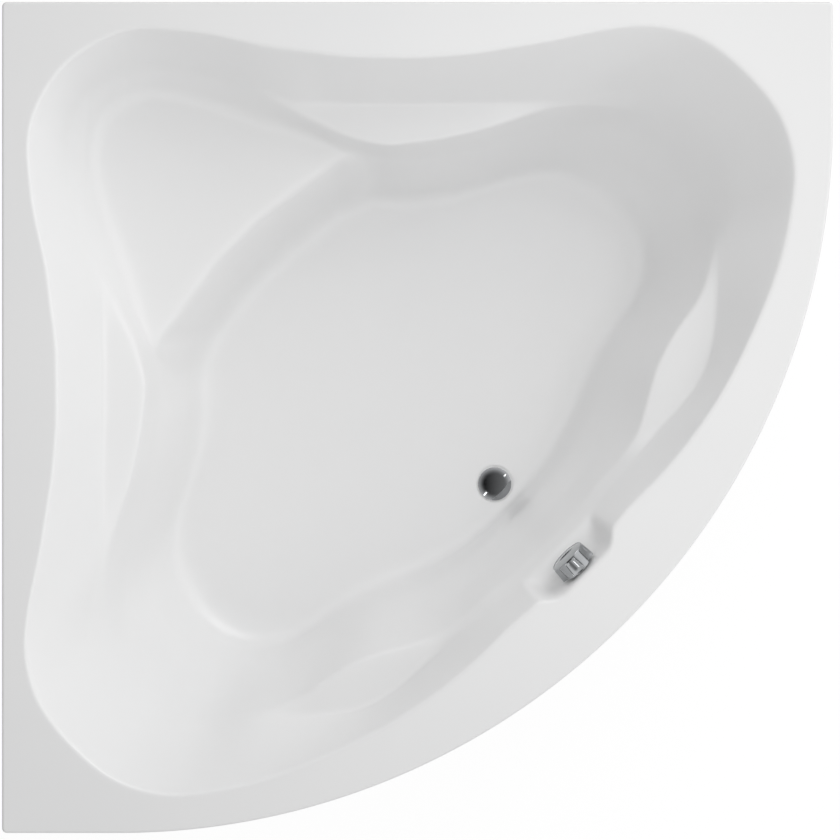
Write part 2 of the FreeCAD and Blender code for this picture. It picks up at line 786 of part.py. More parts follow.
# ---------------------------------------------------------------- front panel
def make_front_panel():
    """Acrylic front with a set-back plinth, behind the rim's lip."""
    shelf_z = PLINTH_TOP - PANEL_THICK
    front = front_band(PANEL_INSET, PANEL_THICK, PLINTH_TOP, PANEL_TOP)
    shelf = front_band(PANEL_INSET, PLINTH_STEP + PANEL_THICK, shelf_z, PLINTH_TOP)
    plinth = front_band(PANEL_INSET + PLINTH_STEP, PANEL_THICK, PANEL_BOTTOM, shelf_z)
    return front.fuse([shelf, plinth]).removeSplitter()


def panel_clip(angle):
    """Spring clip under the rim that pinches the panel against the lip."""
    edge = ARC_P + FRONT_RADIUS - PANEL_INSET - PANEL_THICK - PANEL_GAP
    top = RIM_Z - ACRYLIC
    wide = (-CLIP_WIDE / 2, CLIP_WIDE / 2)
    leg = box((edge - CLIP_THICK, edge), wide, (top - CLIP_DROP, top))
    tab = box((edge - CLIP_REACH, edge), wide, (top - CLIP_THICK, top))
    clip = leg.fuse(tab).removeSplitter()
    clip.rotate(V(ARC_P, 0, 0), UP, angle)
    return clip


def panel_stay(side):
    """Flat steel bar from the foot of a post to the back of the plinth."""
    q = side * (RAIL_Q + TUBE / 2 + STAY_THICK / 2)
    plinth_r = FRONT_RADIUS - PANEL_INSET - PLINTH_STEP - PANEL_THICK - 2 * PANEL_GAP
    reach = ARC_P + math.sqrt(plinth_r ** 2 - (abs(q) + STAY_WIDE) ** 2)
    half = STAY_THICK / 2
    high = (RAIL_Z, RAIL_Z + STAY_WIDE)
    bar = box((POST_P - TUBE / 2, reach), (q - half, q + half), high)
    foot = box((reach - STAY_THICK, reach), tuple(sorted((q, q + side * STAY_WIDE))), high)
    return bar.fuse(foot).removeSplitter()


export("front_panel", make_front_panel())
export("panel_clips", place(group([panel_clip(angle) for angle in CLIP_ANGLES])))
export("panel_stays", place(group([panel_stay(-1), panel_stay(1)])))


# ---------------------------------------------------------------- pop-up waste
DISH_Z = FLOOR_Z - DISH_DEEP
FLANGE_TOP = DISH_Z + FLANGE_THICK
STRAINER_Z = DISH_Z - STRAINER_DEEP
CAP_Z = FLANGE_TOP + CLEAR
STEM_Z = CAP_Z - STEM_LENGTH
SEAL_TOP = FLOOR_Z - SKIN
BODY_TOP = SEAL_TOP - SEAL_THICK
FLANGE_FOOT = BODY_TOP - BODY_FLANGE_THICK


def spider(hub, bore, reach, low, high):
    """Three spokes that hold a hub on the waste's axis."""
    arms = waste_ring(hub, bore, low, high)
    for k in range(3):
        arm = Part.makeBox(reach - hub + 1, SPOKE_WIDE, high - low,
                           V(WASTE_P + hub - 1, WASTE_SIDE - SPOKE_WIDE / 2, low))
        arm.rotate(waste_at(0), UP, 60 + 120 * k)
        arms = arms.fuse(arm)
    return arms


def make_flange():
    """Chromed flange in the floor's dish, with a neck and a three-spoke strainer."""
    flange = waste_ring(FLANGE_RADIUS, STRAINER_BORE, DISH_Z, FLANGE_TOP)
    neck = waste_ring(WASTE_BORE - NECK_FIT, STRAINER_BORE, STRAINER_Z, DISH_Z)
    spokes = spider(STRAINER_HUB, STEM_RADIUS + SLIDE_FIT, STRAINER_BORE + 1, STRAINER_Z,
                    STRAINER_Z + STRAINER_THICK)
    flange = flange.fuse([neck, spokes]).removeSplitter()
    rim = [edge for edge in flange.Edges
           if edge.BoundBox.ZMin > FLANGE_TOP - 0.01
           and edge.BoundBox.XLength > 1.9 * FLANGE_RADIUS]
    return flange.makeFillet(FLANGE_ROUND, rim)


def make_cap():
    """Domed chrome cap with a hub that carries the seal."""
    radius = (CAP_RADIUS ** 2 + CAP_CROWN ** 2) / (2 * CAP_CROWN)
    edge_z = CAP_Z + CAP_EDGE
    ball = Part.makeSphere(radius, waste_at(edge_z + CAP_CROWN - radius))
    dome = ball.common(cylinder(CAP_RADIUS, CAP_EDGE + 2 * CAP_CROWN, waste_at(CAP_Z)))
    hub = cylinder(HUB_RADIUS, HUB_DEEP, waste_at(CAP_Z - HUB_DEEP))
    hole = cylinder(STEM_RADIUS, HUB_DEEP + 1, waste_at(CAP_Z - HUB_DEEP - 1))
    return dome.fuse(hub).cut(hole)


def side_port(outer, inner, z, axis):
    """Tube that leaves the waste body sideways, as (material, bore)."""
    start = waste_at(z)
    return cylinder(outer, PORT_END, start, axis), cylinder(inner, PORT_END, start, axis)


def make_waste_body():
    """Moulded body under the floor, with ports for the overflow and the outlet."""
    body = waste_ring(BODY_FLANGE, WASTE_BORE + CLEAR, FLANGE_FOOT, BODY_TOP)
    body = body.fuse(cylinder(BODY_OUTER, FLANGE_FOOT - BODY_Z, waste_at(BODY_Z)))
    ports = [side_port(HOSE_RADIUS, HOSE_BORE, HOSE_Z, ALONG_P),
             side_port(COLLAR_RADIUS, OUTLET_BORE, OUTLET_Z, -ALONG_Q)]
    for material, _ in ports:
        body = body.fuse(material)
    gland_start = V(WASTE_P, WASTE_SIDE + CABLE_ASIDE, HOSE_Z)
    body = body.fuse(cylinder(GLAND_RADIUS, CABLE_PORT, gland_start, ALONG_P))
    body = body.cut(cylinder(CABLE_BORE, CABLE_PORT + 1, gland_start, ALONG_P))
    body = body.cut(cylinder(BODY_INNER, FLANGE_FOOT - BODY_Z, waste_at(BODY_Z)))
    for _, bore in ports:
        body = body.cut(bore)
    guide = spider(GUIDE_RADIUS, PIN_RADIUS + SLIDE_FIT, BODY_INNER + 1, BODY_Z,
                   BODY_Z + GUIDE_THICK)
    return body.fuse(guide)


def make_trap_cup():
    """Unscrewable cup that holds the water seal."""
    cup = waste_ring(BODY_OUTER, BODY_OUTER - CUP_WALL, CUP_Z, BODY_Z - CLEAR)
    return cup.fuse(cylinder(BODY_OUTER, CUP_WALL, waste_at(CUP_Z)))


def outlet_tube(outer, inner, start, length):
    return ring(outer, inner, length, waste_at(OUTLET_Z) - ALONG_Q * start, -ALONG_Q)


def make_outlet_pipe():
    """Outlet pipe: a collar held by the nut, and a plain spigot."""
    collar = outlet_tube(COLLAR_RADIUS, OUTLET_BORE, PORT_END, COLLAR_LONG)
    return collar.fuse(outlet_tube(OUTLET_RADIUS, OUTLET_BORE, PORT_END + COLLAR_LONG, SPIGOT_LONG))


export("waste_flange", place(make_flange()))
export("waste_seal", place(waste_ring(SEAL_RADIUS, WASTE_BORE, BODY_TOP, SEAL_TOP)))
export("waste_body", place(make_waste_body()))
export("trap_cup", place(make_trap_cup()))
export("trap_nut", place(waste_ring(TRAP_NUT_OUT, BODY_OUTER + NUT_FIT, BODY_Z - TRAP_NUT_BELOW,
                                    BODY_Z + TRAP_NUT_ABOVE)))
export("outlet_pipe", place(make_outlet_pipe()))
export("outlet_nut", place(outlet_tube(OUTLET_NUT_OUT, COLLAR_RADIUS + NUT_FIT,
                                       PORT_END - OUTLET_NUT_BEHIND, OUTLET_NUT_LONG)))
export("plug_cap", place(make_cap()))
export("plug_stem", place(cylinder(STEM_RADIUS, STEM_LENGTH, waste_at(STEM_Z))))
export("plug_seal", place(waste_ring(STRAINER_BORE - CLEAR, HUB_RADIUS,
                                     CAP_Z - PLUG_SEAL_THICK - 1, CAP_Z - 1)))
export("lift_pin", place(cylinder(PIN_RADIUS, STEM_Z - CLEAR - BODY_Z + PIN_BELOW,
                                  waste_at(BODY_Z - PIN_BELOW))))


# ---------------------------------------------------------------- overflow and control
BEHIND = -SKIN - WALL_CURVE                     # back of the wall, on the overflow axis
BODY_FRONT = BEHIND - SEAL_THICK
BODY_BACK = BODY_FRONT - OVERFLOW_LONG
BODY_MIDDLE = on_axis(BODY_BACK + OVERFLOW_LONG / 2 - 2)


def make_knob():
    """Round grip, a little wider at its back, with a domed face and scalloped sides."""
    front = KNOB_GAP + KNOB_THICK
    grip = Part.makeCone(KNOB_RADIUS, KNOB_FRONT, KNOB_THICK, on_axis(KNOB_GAP), OUT)
    rims = [edge for edge in grip.Edges if edge.Closed and type(edge.Curve).__name__ == "Circle"]
    grip = grip.makeFillet(KNOB_ROUND, rims)
    crown = Part.makeSphere(CROWN_RADIUS, on_axis(front + CROWN_RISE - CROWN_RADIUS))
    crown = crown.common(overflow_disc(KNOB_FRONT - CROWN_MARGIN, front - 1, front + CROWN_RISE + 1))
    away = (KNOB_RADIUS + KNOB_FRONT) / 2 + FLUTE_RADIUS - FLUTE_DEEP
    for k in range(KNOB_FLUTES):
        centre = around_axis(away, FLUTE_TURN + 360 * k / KNOB_FLUTES)
        flute = cylinder(FLUTE_RADIUS, KNOB_THICK - KNOB_BAND + 1, on_axis(KNOB_GAP - 1) + centre, OUT)
        grip = grip.cut(flute)
    hub = overflow_disc(2 * SPINDLE_RADIUS, KNOB_HUB_GAP, KNOB_GAP + 1)
    knob = grip.fuse([crown, hub])
    return knob.cut(overflow_disc(SPINDLE_RADIUS, 0, KNOB_GAP + SPINDLE_IN_KNOB))


def make_spindle():
    """Steel spindle with the lever that pulls the cable."""
    rod = overflow_disc(SPINDLE_RADIUS, BEHIND - OVERFLOW_LONG - SPINDLE_BEHIND,
                        KNOB_GAP + SPINDLE_IN_KNOB)
    lever = box((-LEVER_THICK / 2, LEVER_THICK / 2), (0, LEVER_LONG),
                (-LEVER_HIGH / 2, LEVER_HIGH / 2))
    lever.rotate(V(0, 0, 0), ALONG_Q, RECESS_TILT)
    lever.translate(on_axis(BEHIND - OVERFLOW_LONG / 2))
    return rod.fuse(lever).removeSplitter()


def make_face_plate():
    """Chromed plate on the recess face, with a ring of overflow slots."""
    plate = overflow_disc(FACE_RADIUS, FACE_STAND, FACE_STAND + FACE_THICK)
    plate = plate.cut(overflow_disc(SPINDLE_RADIUS + SLIDE_FIT, 0, 2 * FACE_THICK))
    for k in range(SLOTS):
        centre = around_axis(SLOT_CIRCLE, 360 * k / SLOTS)
        plate = plate.cut(cylinder(SLOT_RADIUS, 2 * FACE_THICK, on_axis(0) + centre, OUT))
    return plate


def make_overflow_body():
    """Moulded elbow behind the wall; the spindle turns in its back."""
    flange = overflow_disc(OVERFLOW_FLANGE, BODY_FRONT - OVERFLOW_WALL, BODY_FRONT)
    neck = overflow_disc(OVERFLOW_NECK, BODY_BACK, FACE_STAND)
    port = cylinder(HOSE_RADIUS, PORT_DROP, HOSE_TOP)
    gland = cylinder(GLAND_RADIUS, GLAND_DROP, CABLE_TOP)
    body = flange.fuse([neck, port, gland])
    inside = overflow_disc(OVERFLOW_INNER, BODY_BACK + OVERFLOW_WALL, FACE_STAND + 1)
    hole = overflow_disc(SPINDLE_RADIUS + SLIDE_FIT, BODY_BACK - 1, BODY_BACK + OVERFLOW_WALL + 1)
    cuts = [cylinder(CABLE_BORE, GLAND_DROP, CABLE_TOP), inside,
            cylinder(HOSE_BORE, PORT_DROP, HOSE_TOP), hole]
    for piece in cuts:
        body = body.cut(piece)
    return body


def rounded_path(points):
    """Straight runs joined by tangent arcs, each as large as its runs allow."""
    edges = []
    start = points[0]
    for before, at, after in zip(points, points[1:], points[2:]):
        back = before - at
        ahead = after - at
        turn = math.pi - back.getAngle(ahead)
        cut = 0.45 * min(back.Length, ahead.Length)
        enter = at + back.normalize() * cut
        leave = at + ahead.normalize() * cut
        radius = cut / math.tan(turn / 2)
        print(f"  bend radius {radius:6.1f}")
        bisector = (back + ahead).normalize()
        middle = at + bisector * (math.hypot(radius, cut) - radius)
        edges.append(Part.makeLine(start, enter))
        edges.append(arc(enter, middle, leave))
        start = leave
    edges.append(Part.makeLine(start, points[-1]))
    return Part.Wire(edges)


def swept_tube(path, outer, inner=0.0):
    """Round tube along a path."""
    first = path.Edges[0]
    start = first.valueAt(first.FirstParameter)
    heading = first.tangentAt(first.FirstParameter)

    def sweep(radius):
        section = Part.Wire([Part.makeCircle(radius, start, heading)])
        return path.makePipeShell([section], True, False)

    tube = sweep(outer)
    if inner:
        tube = tube.cut(sweep(inner))
    print(f"  length {path.Length:.1f}, volume over length {tube.Volume / path.Length:.1f}")
    return tube


HOSE_TOP = BODY_MIDDLE - UP * (OVERFLOW_NECK + PORT_DROP - PORT_OVERLAP)
HOSE_DOWN_P = HOSE_TOP.x + 14.0
HOSE_POINTS = [
    HOSE_TOP,
    V(HOSE_TOP.x, WASTE_SIDE, 405.0),
    V(HOSE_DOWN_P, WASTE_SIDE, 300.0),
    V(HOSE_DOWN_P - 12.0, WASTE_SIDE, 195.0),
    V(HOSE_DOWN_P - 72.0, WASTE_SIDE, HOSE_Z),
    V(WASTE_P + PORT_END, WASTE_SIDE, HOSE_Z),
]
CABLE_Q = WASTE_SIDE + CABLE_ASIDE
CABLE_TOP = BODY_MIDDLE + V(0, CABLE_ASIDE, -GLAND_DROP)
CABLE_POINTS = [
    CABLE_TOP,
    V(CABLE_TOP.x, CABLE_Q, 440.0),
    V(CABLE_TOP.x + 9, CABLE_Q + 2.0, 365.0),
    V(CABLE_TOP.x + 13, CABLE_Q + 2.5, 290.0),
    V(CABLE_TOP.x + 8, CABLE_Q + 2.0, 215.0),
    V(CABLE_TOP.x - 16, CABLE_Q + 1.5, 152.0),
    V(CABLE_TOP.x - 68, CABLE_Q + 0.8, 113.0),
    V(CABLE_TOP.x - 132, CABLE_Q, HOSE_Z),
    V(WASTE_P + CABLE_PORT, CABLE_Q, HOSE_Z),
]
export("overflow_knob", place(make_knob()))
export("knob_spindle", place(make_spindle()))
export("overflow_face", place(make_face_plate()))
export("overflow_seal", place(overflow_ring(OVERFLOW_FLANGE, OVERFLOW_BORE, BODY_FRONT, BEHIND)))
export("overflow_body", place(make_overflow_body()))
export("overflow_hose", place(swept_tube(rounded_path(HOSE_POINTS), HOSE_RADIUS, HOSE_BORE)))
export("control_cable", place(swept_tube(rounded_path(CABLE_POINTS), CABLE_RADIUS)))
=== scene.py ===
"""A corner bath for two, seen from straight above: acrylic shell, chromed waste and
overflow control, curved front panel, and the frame and plumbing under it."""
import math

import bmesh
import bpy
from mathutils import Matrix, Vector


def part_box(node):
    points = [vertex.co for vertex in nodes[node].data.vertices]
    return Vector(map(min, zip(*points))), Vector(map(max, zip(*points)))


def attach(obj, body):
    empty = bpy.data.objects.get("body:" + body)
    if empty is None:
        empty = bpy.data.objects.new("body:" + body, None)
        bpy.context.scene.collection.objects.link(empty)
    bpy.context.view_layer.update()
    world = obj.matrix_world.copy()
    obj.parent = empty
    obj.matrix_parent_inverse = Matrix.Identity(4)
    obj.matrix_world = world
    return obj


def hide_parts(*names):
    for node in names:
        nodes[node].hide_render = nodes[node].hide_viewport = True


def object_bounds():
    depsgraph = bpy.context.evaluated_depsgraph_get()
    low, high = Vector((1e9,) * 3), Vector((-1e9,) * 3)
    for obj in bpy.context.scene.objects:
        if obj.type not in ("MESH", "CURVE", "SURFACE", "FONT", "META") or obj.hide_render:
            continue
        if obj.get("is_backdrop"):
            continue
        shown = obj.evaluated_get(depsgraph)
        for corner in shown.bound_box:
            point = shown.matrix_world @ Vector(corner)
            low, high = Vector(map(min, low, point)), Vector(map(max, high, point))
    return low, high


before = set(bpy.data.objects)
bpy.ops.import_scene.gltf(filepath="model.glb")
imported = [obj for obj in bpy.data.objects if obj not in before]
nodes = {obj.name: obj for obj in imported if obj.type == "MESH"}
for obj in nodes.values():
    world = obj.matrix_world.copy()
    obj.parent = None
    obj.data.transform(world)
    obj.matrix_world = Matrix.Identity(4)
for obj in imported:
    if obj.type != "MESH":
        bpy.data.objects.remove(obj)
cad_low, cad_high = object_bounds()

MM = 0.001


# -------------------- bath shell
# One sheet of white sanitary acrylic, drawn down hot over a mould: a flat rim with a
# turned-down lip, a basin with a corner seat and four armrests, and a recess for the
# overflow control. It is glossy, with the faint ripple that a moulded sheet keeps.

class Signal:
    """A shader socket that takes part in Python arithmetic."""

    def __init__(self, finish, socket):
        self.finish = finish
        self.socket = socket

    def _math(self, operation, first, second):
        return self.finish.node("ShaderNodeMath", {"operation": operation},
                                {0: first, 1: second})

    def __add__(self, other):
        return self._math("ADD", self, other)

    def __sub__(self, other):
        return self._math("SUBTRACT", self, other)

    def __rsub__(self, other):
        return self._math("SUBTRACT", other, self)

    def __mul__(self, other):
        return self._math("MULTIPLY", self, other)

    def __abs__(self):
        return self._math("ABSOLUTE", self, 0.0)

    def ramp(self, low, high, start=0.0, end=1.0):
        """Smooth change from start to end while the value goes from low to high."""
        return self.finish.node("ShaderNodeMapRange", {"interpolation_type": "SMOOTHSTEP"},
                                {"Value": self, "From Min": low, "From Max": high,
                                 "To Min": start, "To Max": end})


class Finish:
    """A material under construction, with its fixed values on the shader's sockets."""

    def __init__(self, name, **fixed):
        self.material = bpy.data.materials.new(name)
        self.material.use_nodes = True
        self.tree = self.material.node_tree
        self.shader = self.tree.nodes["Principled BSDF"]
        for socket, value in fixed.items():
            self.shader.inputs[socket.replace("_", " ")].default_value = value
        self.place = self.node("ShaderNodeTexCoord", {}, {}, "Object")

    def node(self, kind, settings, sockets, output=0):
        """Add a node: its settings first, then the values or links of its sockets."""
        made = self.tree.nodes.new(kind)
        for key, value in settings.items():
            setattr(made, key, value)
        for key, value in sockets.items():
            if isinstance(value, Signal):
                self.tree.links.new(value.socket, made.inputs[key])
            else:
                made.inputs[key].default_value = value
        return Signal(self, made.outputs[output])

    def noise(self, scale, detail=3.0, rough=0.5, place=None):
        return self.node("ShaderNodeTexNoise", {},
                         {"Vector": place or self.place, "Scale": scale, "Detail": detail,
                          "Roughness": rough})

    def cells(self, scale, place=None, output="Distance"):
        return self.node("ShaderNodeTexVoronoi", {},
                         {"Vector": place or self.place, "Scale": scale}, output)

    def stretched(self, scale, turn=(0.0, 0.0, 0.0)):
        return self.node("ShaderNodeMapping", {},
                         {"Vector": self.place, "Scale": scale, "Rotation": turn})

    def ray(self, kind):
        """1 for rays of a kind, 0 for others."""
        return self.node("ShaderNodeLightPath", {}, {}, f"Is {kind} Ray")

    def mixed(self, factor, first, second):
        """Colour between two colours."""
        return self.node("ShaderNodeMix", {"data_type": "RGBA"},
                         {"Factor": factor, 6: first, 7: second}, 2)

    def colour(self, value):
        self.tree.links.new(value.socket, self.shader.inputs["Base Color"])

    def roughness(self, value):
        self.tree.links.new(value.socket, self.shader.inputs["Roughness"])

    def bump(self, height, strength, distance):
        bumped = self.node("ShaderNodeBump", {},
                           {"Height": height, "Strength": strength, "Distance": distance})
        self.tree.links.new(bumped.socket, self.shader.inputs["Normal"])


def grey(level):
    return (level, level, level, 1.0)


WHITE = 0.86
MOULD_RIPPLE = 7.0  # ripples in a metre of sheet


def make_acrylic():
    """Glossy white acrylic: mould ripple, faint clouding and wiped-dry marks."""
    finish = Finish("white_acrylic", IOR=1.49, Coat_Weight=0.25, Coat_Roughness=0.26)
    cloud = finish.noise(2.2, 4.0)
    speck = finish.cells(420.0).ramp(0.02, 0.06)
    shade = (WHITE * 0.985, WHITE * 0.987, WHITE * 0.99, 1.0)
    dull = finish.mixed(cloud.ramp(0.35, 0.75), grey(WHITE), shade)
    dust = (WHITE * 0.93, WHITE * 0.925, WHITE * 0.91, 1.0)
    finish.colour(finish.mixed(speck, dust, dull))
    wiped = finish.noise(9.0, 5.0, 0.6, finish.stretched((1.0, 0.25, 1.0), (0, 0, 0.7)))
    finish.roughness(wiped.ramp(0.3, 0.75, 0.29, 0.35))
    ripple = finish.noise(MOULD_RIPPLE, 1.5)
    finish.bump(ripple + finish.noise(900.0, 1.0) * 0.004, 0.10, 0.0016)
    return finish.material


SIDE = cad_high.x - cad_low.x
RIM_Z = cad_high.z
STUB = 0.212  # straight part of the front beside each wall
DEPTH = 0.440
ACRYLIC = 0.005
LIP = 0.040
LIP_CORNER = 0.009
LIP_ROUND = 0.004
LIP_FOOT = 0.0015
LIP_MARGIN = 0.0012  # flat ring inside the lip's round
FLOOR_Z = RIM_Z - DEPTH
FRONT_RADIUS = SIDE - STUB
CORNER = Vector((cad_low.x, cad_high.y, 0))
ALONG = Vector((math.sqrt(0.5), -math.sqrt(0.5), 0))  # corner to front
ACROSS = Vector((math.sqrt(0.5), math.sqrt(0.5), 0))

CENTRE_P = 0.850  # pole of the basin's sections, on the diagonal
HALF_COLUMNS = 80
FRONT_CROWDING = 1.6
FLAT_MARGIN = 0.006  # flat ring outside the rim's round and inside the floor's
ROUND_LIMIT = 0.45  # most of a straight that one round may take
MITRE_LIMIT = 0.7  # keeps a sheet's thickness in check at sharp bends
WELD = 1e-6  # points closer than this are one
LEVEL_TOLERANCE = 1e-5

# Basin lines as (angle from the front in degrees, radius from the pole in mm).
RIM_EDGE = (
    (0, 600), (13, 611), (22, 640), (42, 733), (60, 851), (66, 887), (71, 896), (78, 878),
    (84, 851), (90, 792), (95, 712), (100, 643), (111, 553), (122, 513), (132, 502), (146, 526),
    (162, 616), (170, 670), (180, 690))
ARM_CREASE = (
    (0, 556), (14, 566), (22, 585), (29, 613), (34, 644), (41, 678), (50, 694), (56, 705),
    (64, 760), (71, 773), (78, 748), (85, 695), (91, 590), (100, 514), (109, 468), (119, 436),
    (131, 421), (143, 425), (150, 456), (158, 521), (166, 588), (173, 636), (180, 652))
ARM_LIP = (
    (0, 535), (14, 542), (22, 562), (28, 575), (33, 577), (38, 582), (43, 600), (47, 626),
    (51, 664), (56, 692), (64, 728), (71, 733), (78, 706), (85, 645), (91, 572), (97, 482),
    (103, 426), (111, 382), (122, 353), (131, 358), (139, 380), (144, 402), (150, 436),
    (158, 496), (166, 561), (173, 609), (180, 626))
SEAT_BACK = (
    (0, 497), (28, 530), (38, 540), (51, 618), (56, 650), (64, 688), (71, 690), (78, 660),
    (85, 598), (91, 505), (97, 430), (103, 385), (111, 350), (122, 332), (132, 338), (140, 360),
    (148, 384), (154, 410), (164, 484), (173, 556), (180, 576))
SEAT_LIP = (
    (0, 462), (28, 487), (38, 504), (51, 578), (56, 608), (64, 628), (71, 625), (78, 590),
    (85, 530), (91, 440), (97, 378), (103, 338), (111, 310), (122, 302), (132, 317), (140, 292),
    (148, 273), (158, 258), (180, 246))
FLOOR_EDGE = (
    (0, 440), (18, 446), (34, 458), (42, 479), (48, 515), (54, 558), (60, 574), (66, 566),
    (77, 521), (82, 490), (86, 447), (91, 377), (98, 316), (109, 272), (121, 256), (135, 226),
    (154, 191), (180, 176))

# Depth of the ledge lines below the rim, as (angle, depth in mm).
ARM_CREASE_DEPTH = (
    (0, 105), (20, 120), (29, 150), (42, 152), (56, 160), (66, 165), (85, 165), (100, 152),
    (143, 150), (158, 118), (180, 90))
ARM_LIP_DEPTH = (
    (0, 150), (29, 158), (42, 160), (56, 172), (66, 225), (80, 225), (91, 174), (100, 162),
    (144, 160), (158, 156), (180, 160))
SEAT_BACK_DEPTH = (
    (0, 260), (56, 268), (64, 290), (80, 290), (91, 275), (122, 262), (132, 232), (140, 226),
    (180, 222))
SEAT_LIP_DEPTH = (
    (0, 350), (56, 355), (64, 370), (80, 370), (91, 360), (120, 350), (132, 243), (140, 237),
    (180, 234))

# How round the edges and creases are, as (angle, mm): soft around the seat, tighter
# beside the waste.
RIM_ROUND = 0.011
CREASE_ROUND = ((0, 14), (120, 14), (155, 28), (180, 30))
SEAT_BACK_ROUND = ((0, 26), (120, 28), (150, 60), (180, 72))
SEAT_LIP_ROUND = ((0, 26), (180, 28))
FLOOR_ROUND = ((0, 37), (14, 39), (34, 54), (60, 64), (120, 66), (180, 64))

WASTE_SIDE = 0.014  # waste and overflow stand this far off the diagonal
RECESS_DEPTH = 0.022  # behind the basin's edge, at the rim
RECESS_HALF = 0.092
RECESS_END = 0.043
RECESS_TILT = math.radians(13.0)
RECESS_TOP = 0.036
RECESS_FOOT = 0.095
RECESS_SILL = 0.100


def corner_point(p, q, z):
    """Point at p along the diagonal from the wall corner and q across it."""
    return CORNER + ALONG * p + ACROSS * q + Vector((0, 0, z))


def along(line, angle):
    """Smooth value of a line at an angle, in metres, even about front and corner."""
    last = len(line) - 1
    k = 0
    while k < last - 1 and angle > line[k + 1][0]:
        k += 1
    (x0, y0), (x1, y1) = line[k], line[k + 1]
    step = x1 - x0
    rise = (y1 - y0) / step

    def slope(i):
        if i in (0, last):
            return 0.0
        left = (line[i][1] - line[i - 1][1]) / (line[i][0] - line[i - 1][0])
        right = (line[i + 1][1] - line[i][1]) / (line[i + 1][0] - line[i][0])
        if left * right <= 0:
            return 0.0
        return 2 * left * right / (left + right)

    t = (angle - x0) / step
    bend0 = slope(k) - rise
    bend1 = rise - slope(k + 1)
    value = y0 + rise * (angle - x0) + step * t * (1 - t) * (bend0 * (1 - t) + bend1 * t)
    return value * MM


def towards(start, end, distance):
    """Point at a distance from start on the way to end, short of its middle."""
    share = min(distance / math.dist(start, end), ROUND_LIMIT)
    return tuple(a + share * (b - a) for a, b in zip(start, end))


def recessed(points, side):
    """Push the top of a front section outwards to form the overflow recess."""
    near = min(max((RECESS_HALF - abs(side - WASTE_SIDE)) / RECESS_END, 0.0), 1.0)
    share = near * (2 - near)
    edge = points[1][0]
    crease, crease_depth = points[4]

    def face(depth):
        return edge + RECESS_DEPTH - math.tan(RECESS_TILT) * depth

    goals = (
        (face(0) + RIM_ROUND, 0.0),
        (face(0), 0.0),
        (face(RECESS_TOP), RECESS_TOP),
        (face(RECESS_FOOT), RECESS_FOOT),
        (edge + (crease - edge) * RECESS_SILL / crease_depth, RECESS_SILL),
    )
    pushed = [tuple(a + share * (b - a) for a, b in zip(point, goal))
              for point, goal in zip(points, goals)]
    return pushed + points[len(goals):]


def section(angle):
    """Control points of one section, as (radius, depth) from the rim to the floor."""
    even = abs(angle)
    corners = [
        (along(RIM_EDGE, even), 0.0),
        (along(ARM_CREASE, even), along(ARM_CREASE_DEPTH, even)),
        (along(ARM_LIP, even), along(ARM_LIP_DEPTH, even)),
        (along(SEAT_BACK, even), along(SEAT_BACK_DEPTH, even)),
        (along(SEAT_LIP, even), along(SEAT_LIP_DEPTH, even)),
        (along(FLOOR_EDGE, even), DEPTH),
    ]
    edge = corners[0][0]
    floor_round = along(FLOOR_ROUND, even)
    crease_round = along(CREASE_ROUND, even)
    rounds = (RIM_ROUND, crease_round, crease_round, along(SEAT_BACK_ROUND, even),
              along(SEAT_LIP_ROUND, even), floor_round)
    first = (edge + RIM_ROUND, 0.0)
    last = (corners[-1][0] - floor_round, DEPTH)
    chain = [first] + corners + [last]
    points = []
    for k, size in enumerate(rounds, start=1):
        points.append(first if k == 1 else towards(chain[k], chain[k - 1], size))
        points.append(chain[k])
        points.append(last if k == len(rounds) else towards(chain[k], chain[k + 1], size))
    side = edge * math.sin(math.radians(angle)) if even < 90 else SIDE
    points = recessed(points, side)
    flat_out = (points[0][0] + FLAT_MARGIN, 0.0)
    flat_in = (points[-1][0] - FLAT_MARGIN, DEPTH)
    return [flat_out] + points + [flat_in]


def basin_sections():
    """Control points of the whole basin, one list from rim to floor per section."""
    sections = []
    for step in range(1 - HALF_COLUMNS, HALF_COLUMNS + 1):
        share = abs(step) / HALF_COLUMNS
        angle = math.copysign(180.0 * share ** FRONT_CROWDING, step)
        turn = math.radians(angle)
        sections.append([
            corner_point(CENTRE_P + radius * math.cos(turn), radius * math.sin(turn),
                         RIM_Z - depth)
            for radius, depth in section(angle)])
    return sections


def set_back(sections, distance):
    """The same control points moved away from the inside of the basin."""
    count = len(sections)
    rows = len(sections[0])
    moved = []
    for j, column in enumerate(sections):
        line = []
        for i in range(rows):
            across = sections[(j + 1) % count][i] - sections[j - 1][i]
            normals = [across.cross(column[k + 1] - column[k]).normalized()
                       for k in (i - 1, i) if 0 <= k < rows - 1]
            middle = (normals[0] + normals[-1]).normalized()
            if i in (0, rows - 1):
                middle = Vector((0, 0, 1))
            mitre = max(middle.dot(normals[0]), MITRE_LIMIT)
            line.append(column[i] - middle * (distance / mitre))
        moved.append(line)
    return moved


def added(name, data):
    """A new object in the scene, with its mesh or other data."""
    made = bpy.data.objects.new(name, data)
    bpy.context.scene.collection.objects.link(made)
    return made


def start_alone():
    """Leave nothing selected, in object mode."""
    if bpy.context.mode != "OBJECT":
        bpy.ops.object.mode_set(mode="OBJECT")
    bpy.ops.object.select_all(action="DESELECT")


def pick(piece, mode="OBJECT"):
    """Select one piece alone, in object or edit mode."""
    start_alone()
    bpy.context.view_layer.objects.active = piece
    piece.select_set(True)
    bpy.ops.object.mode_set(mode=mode)


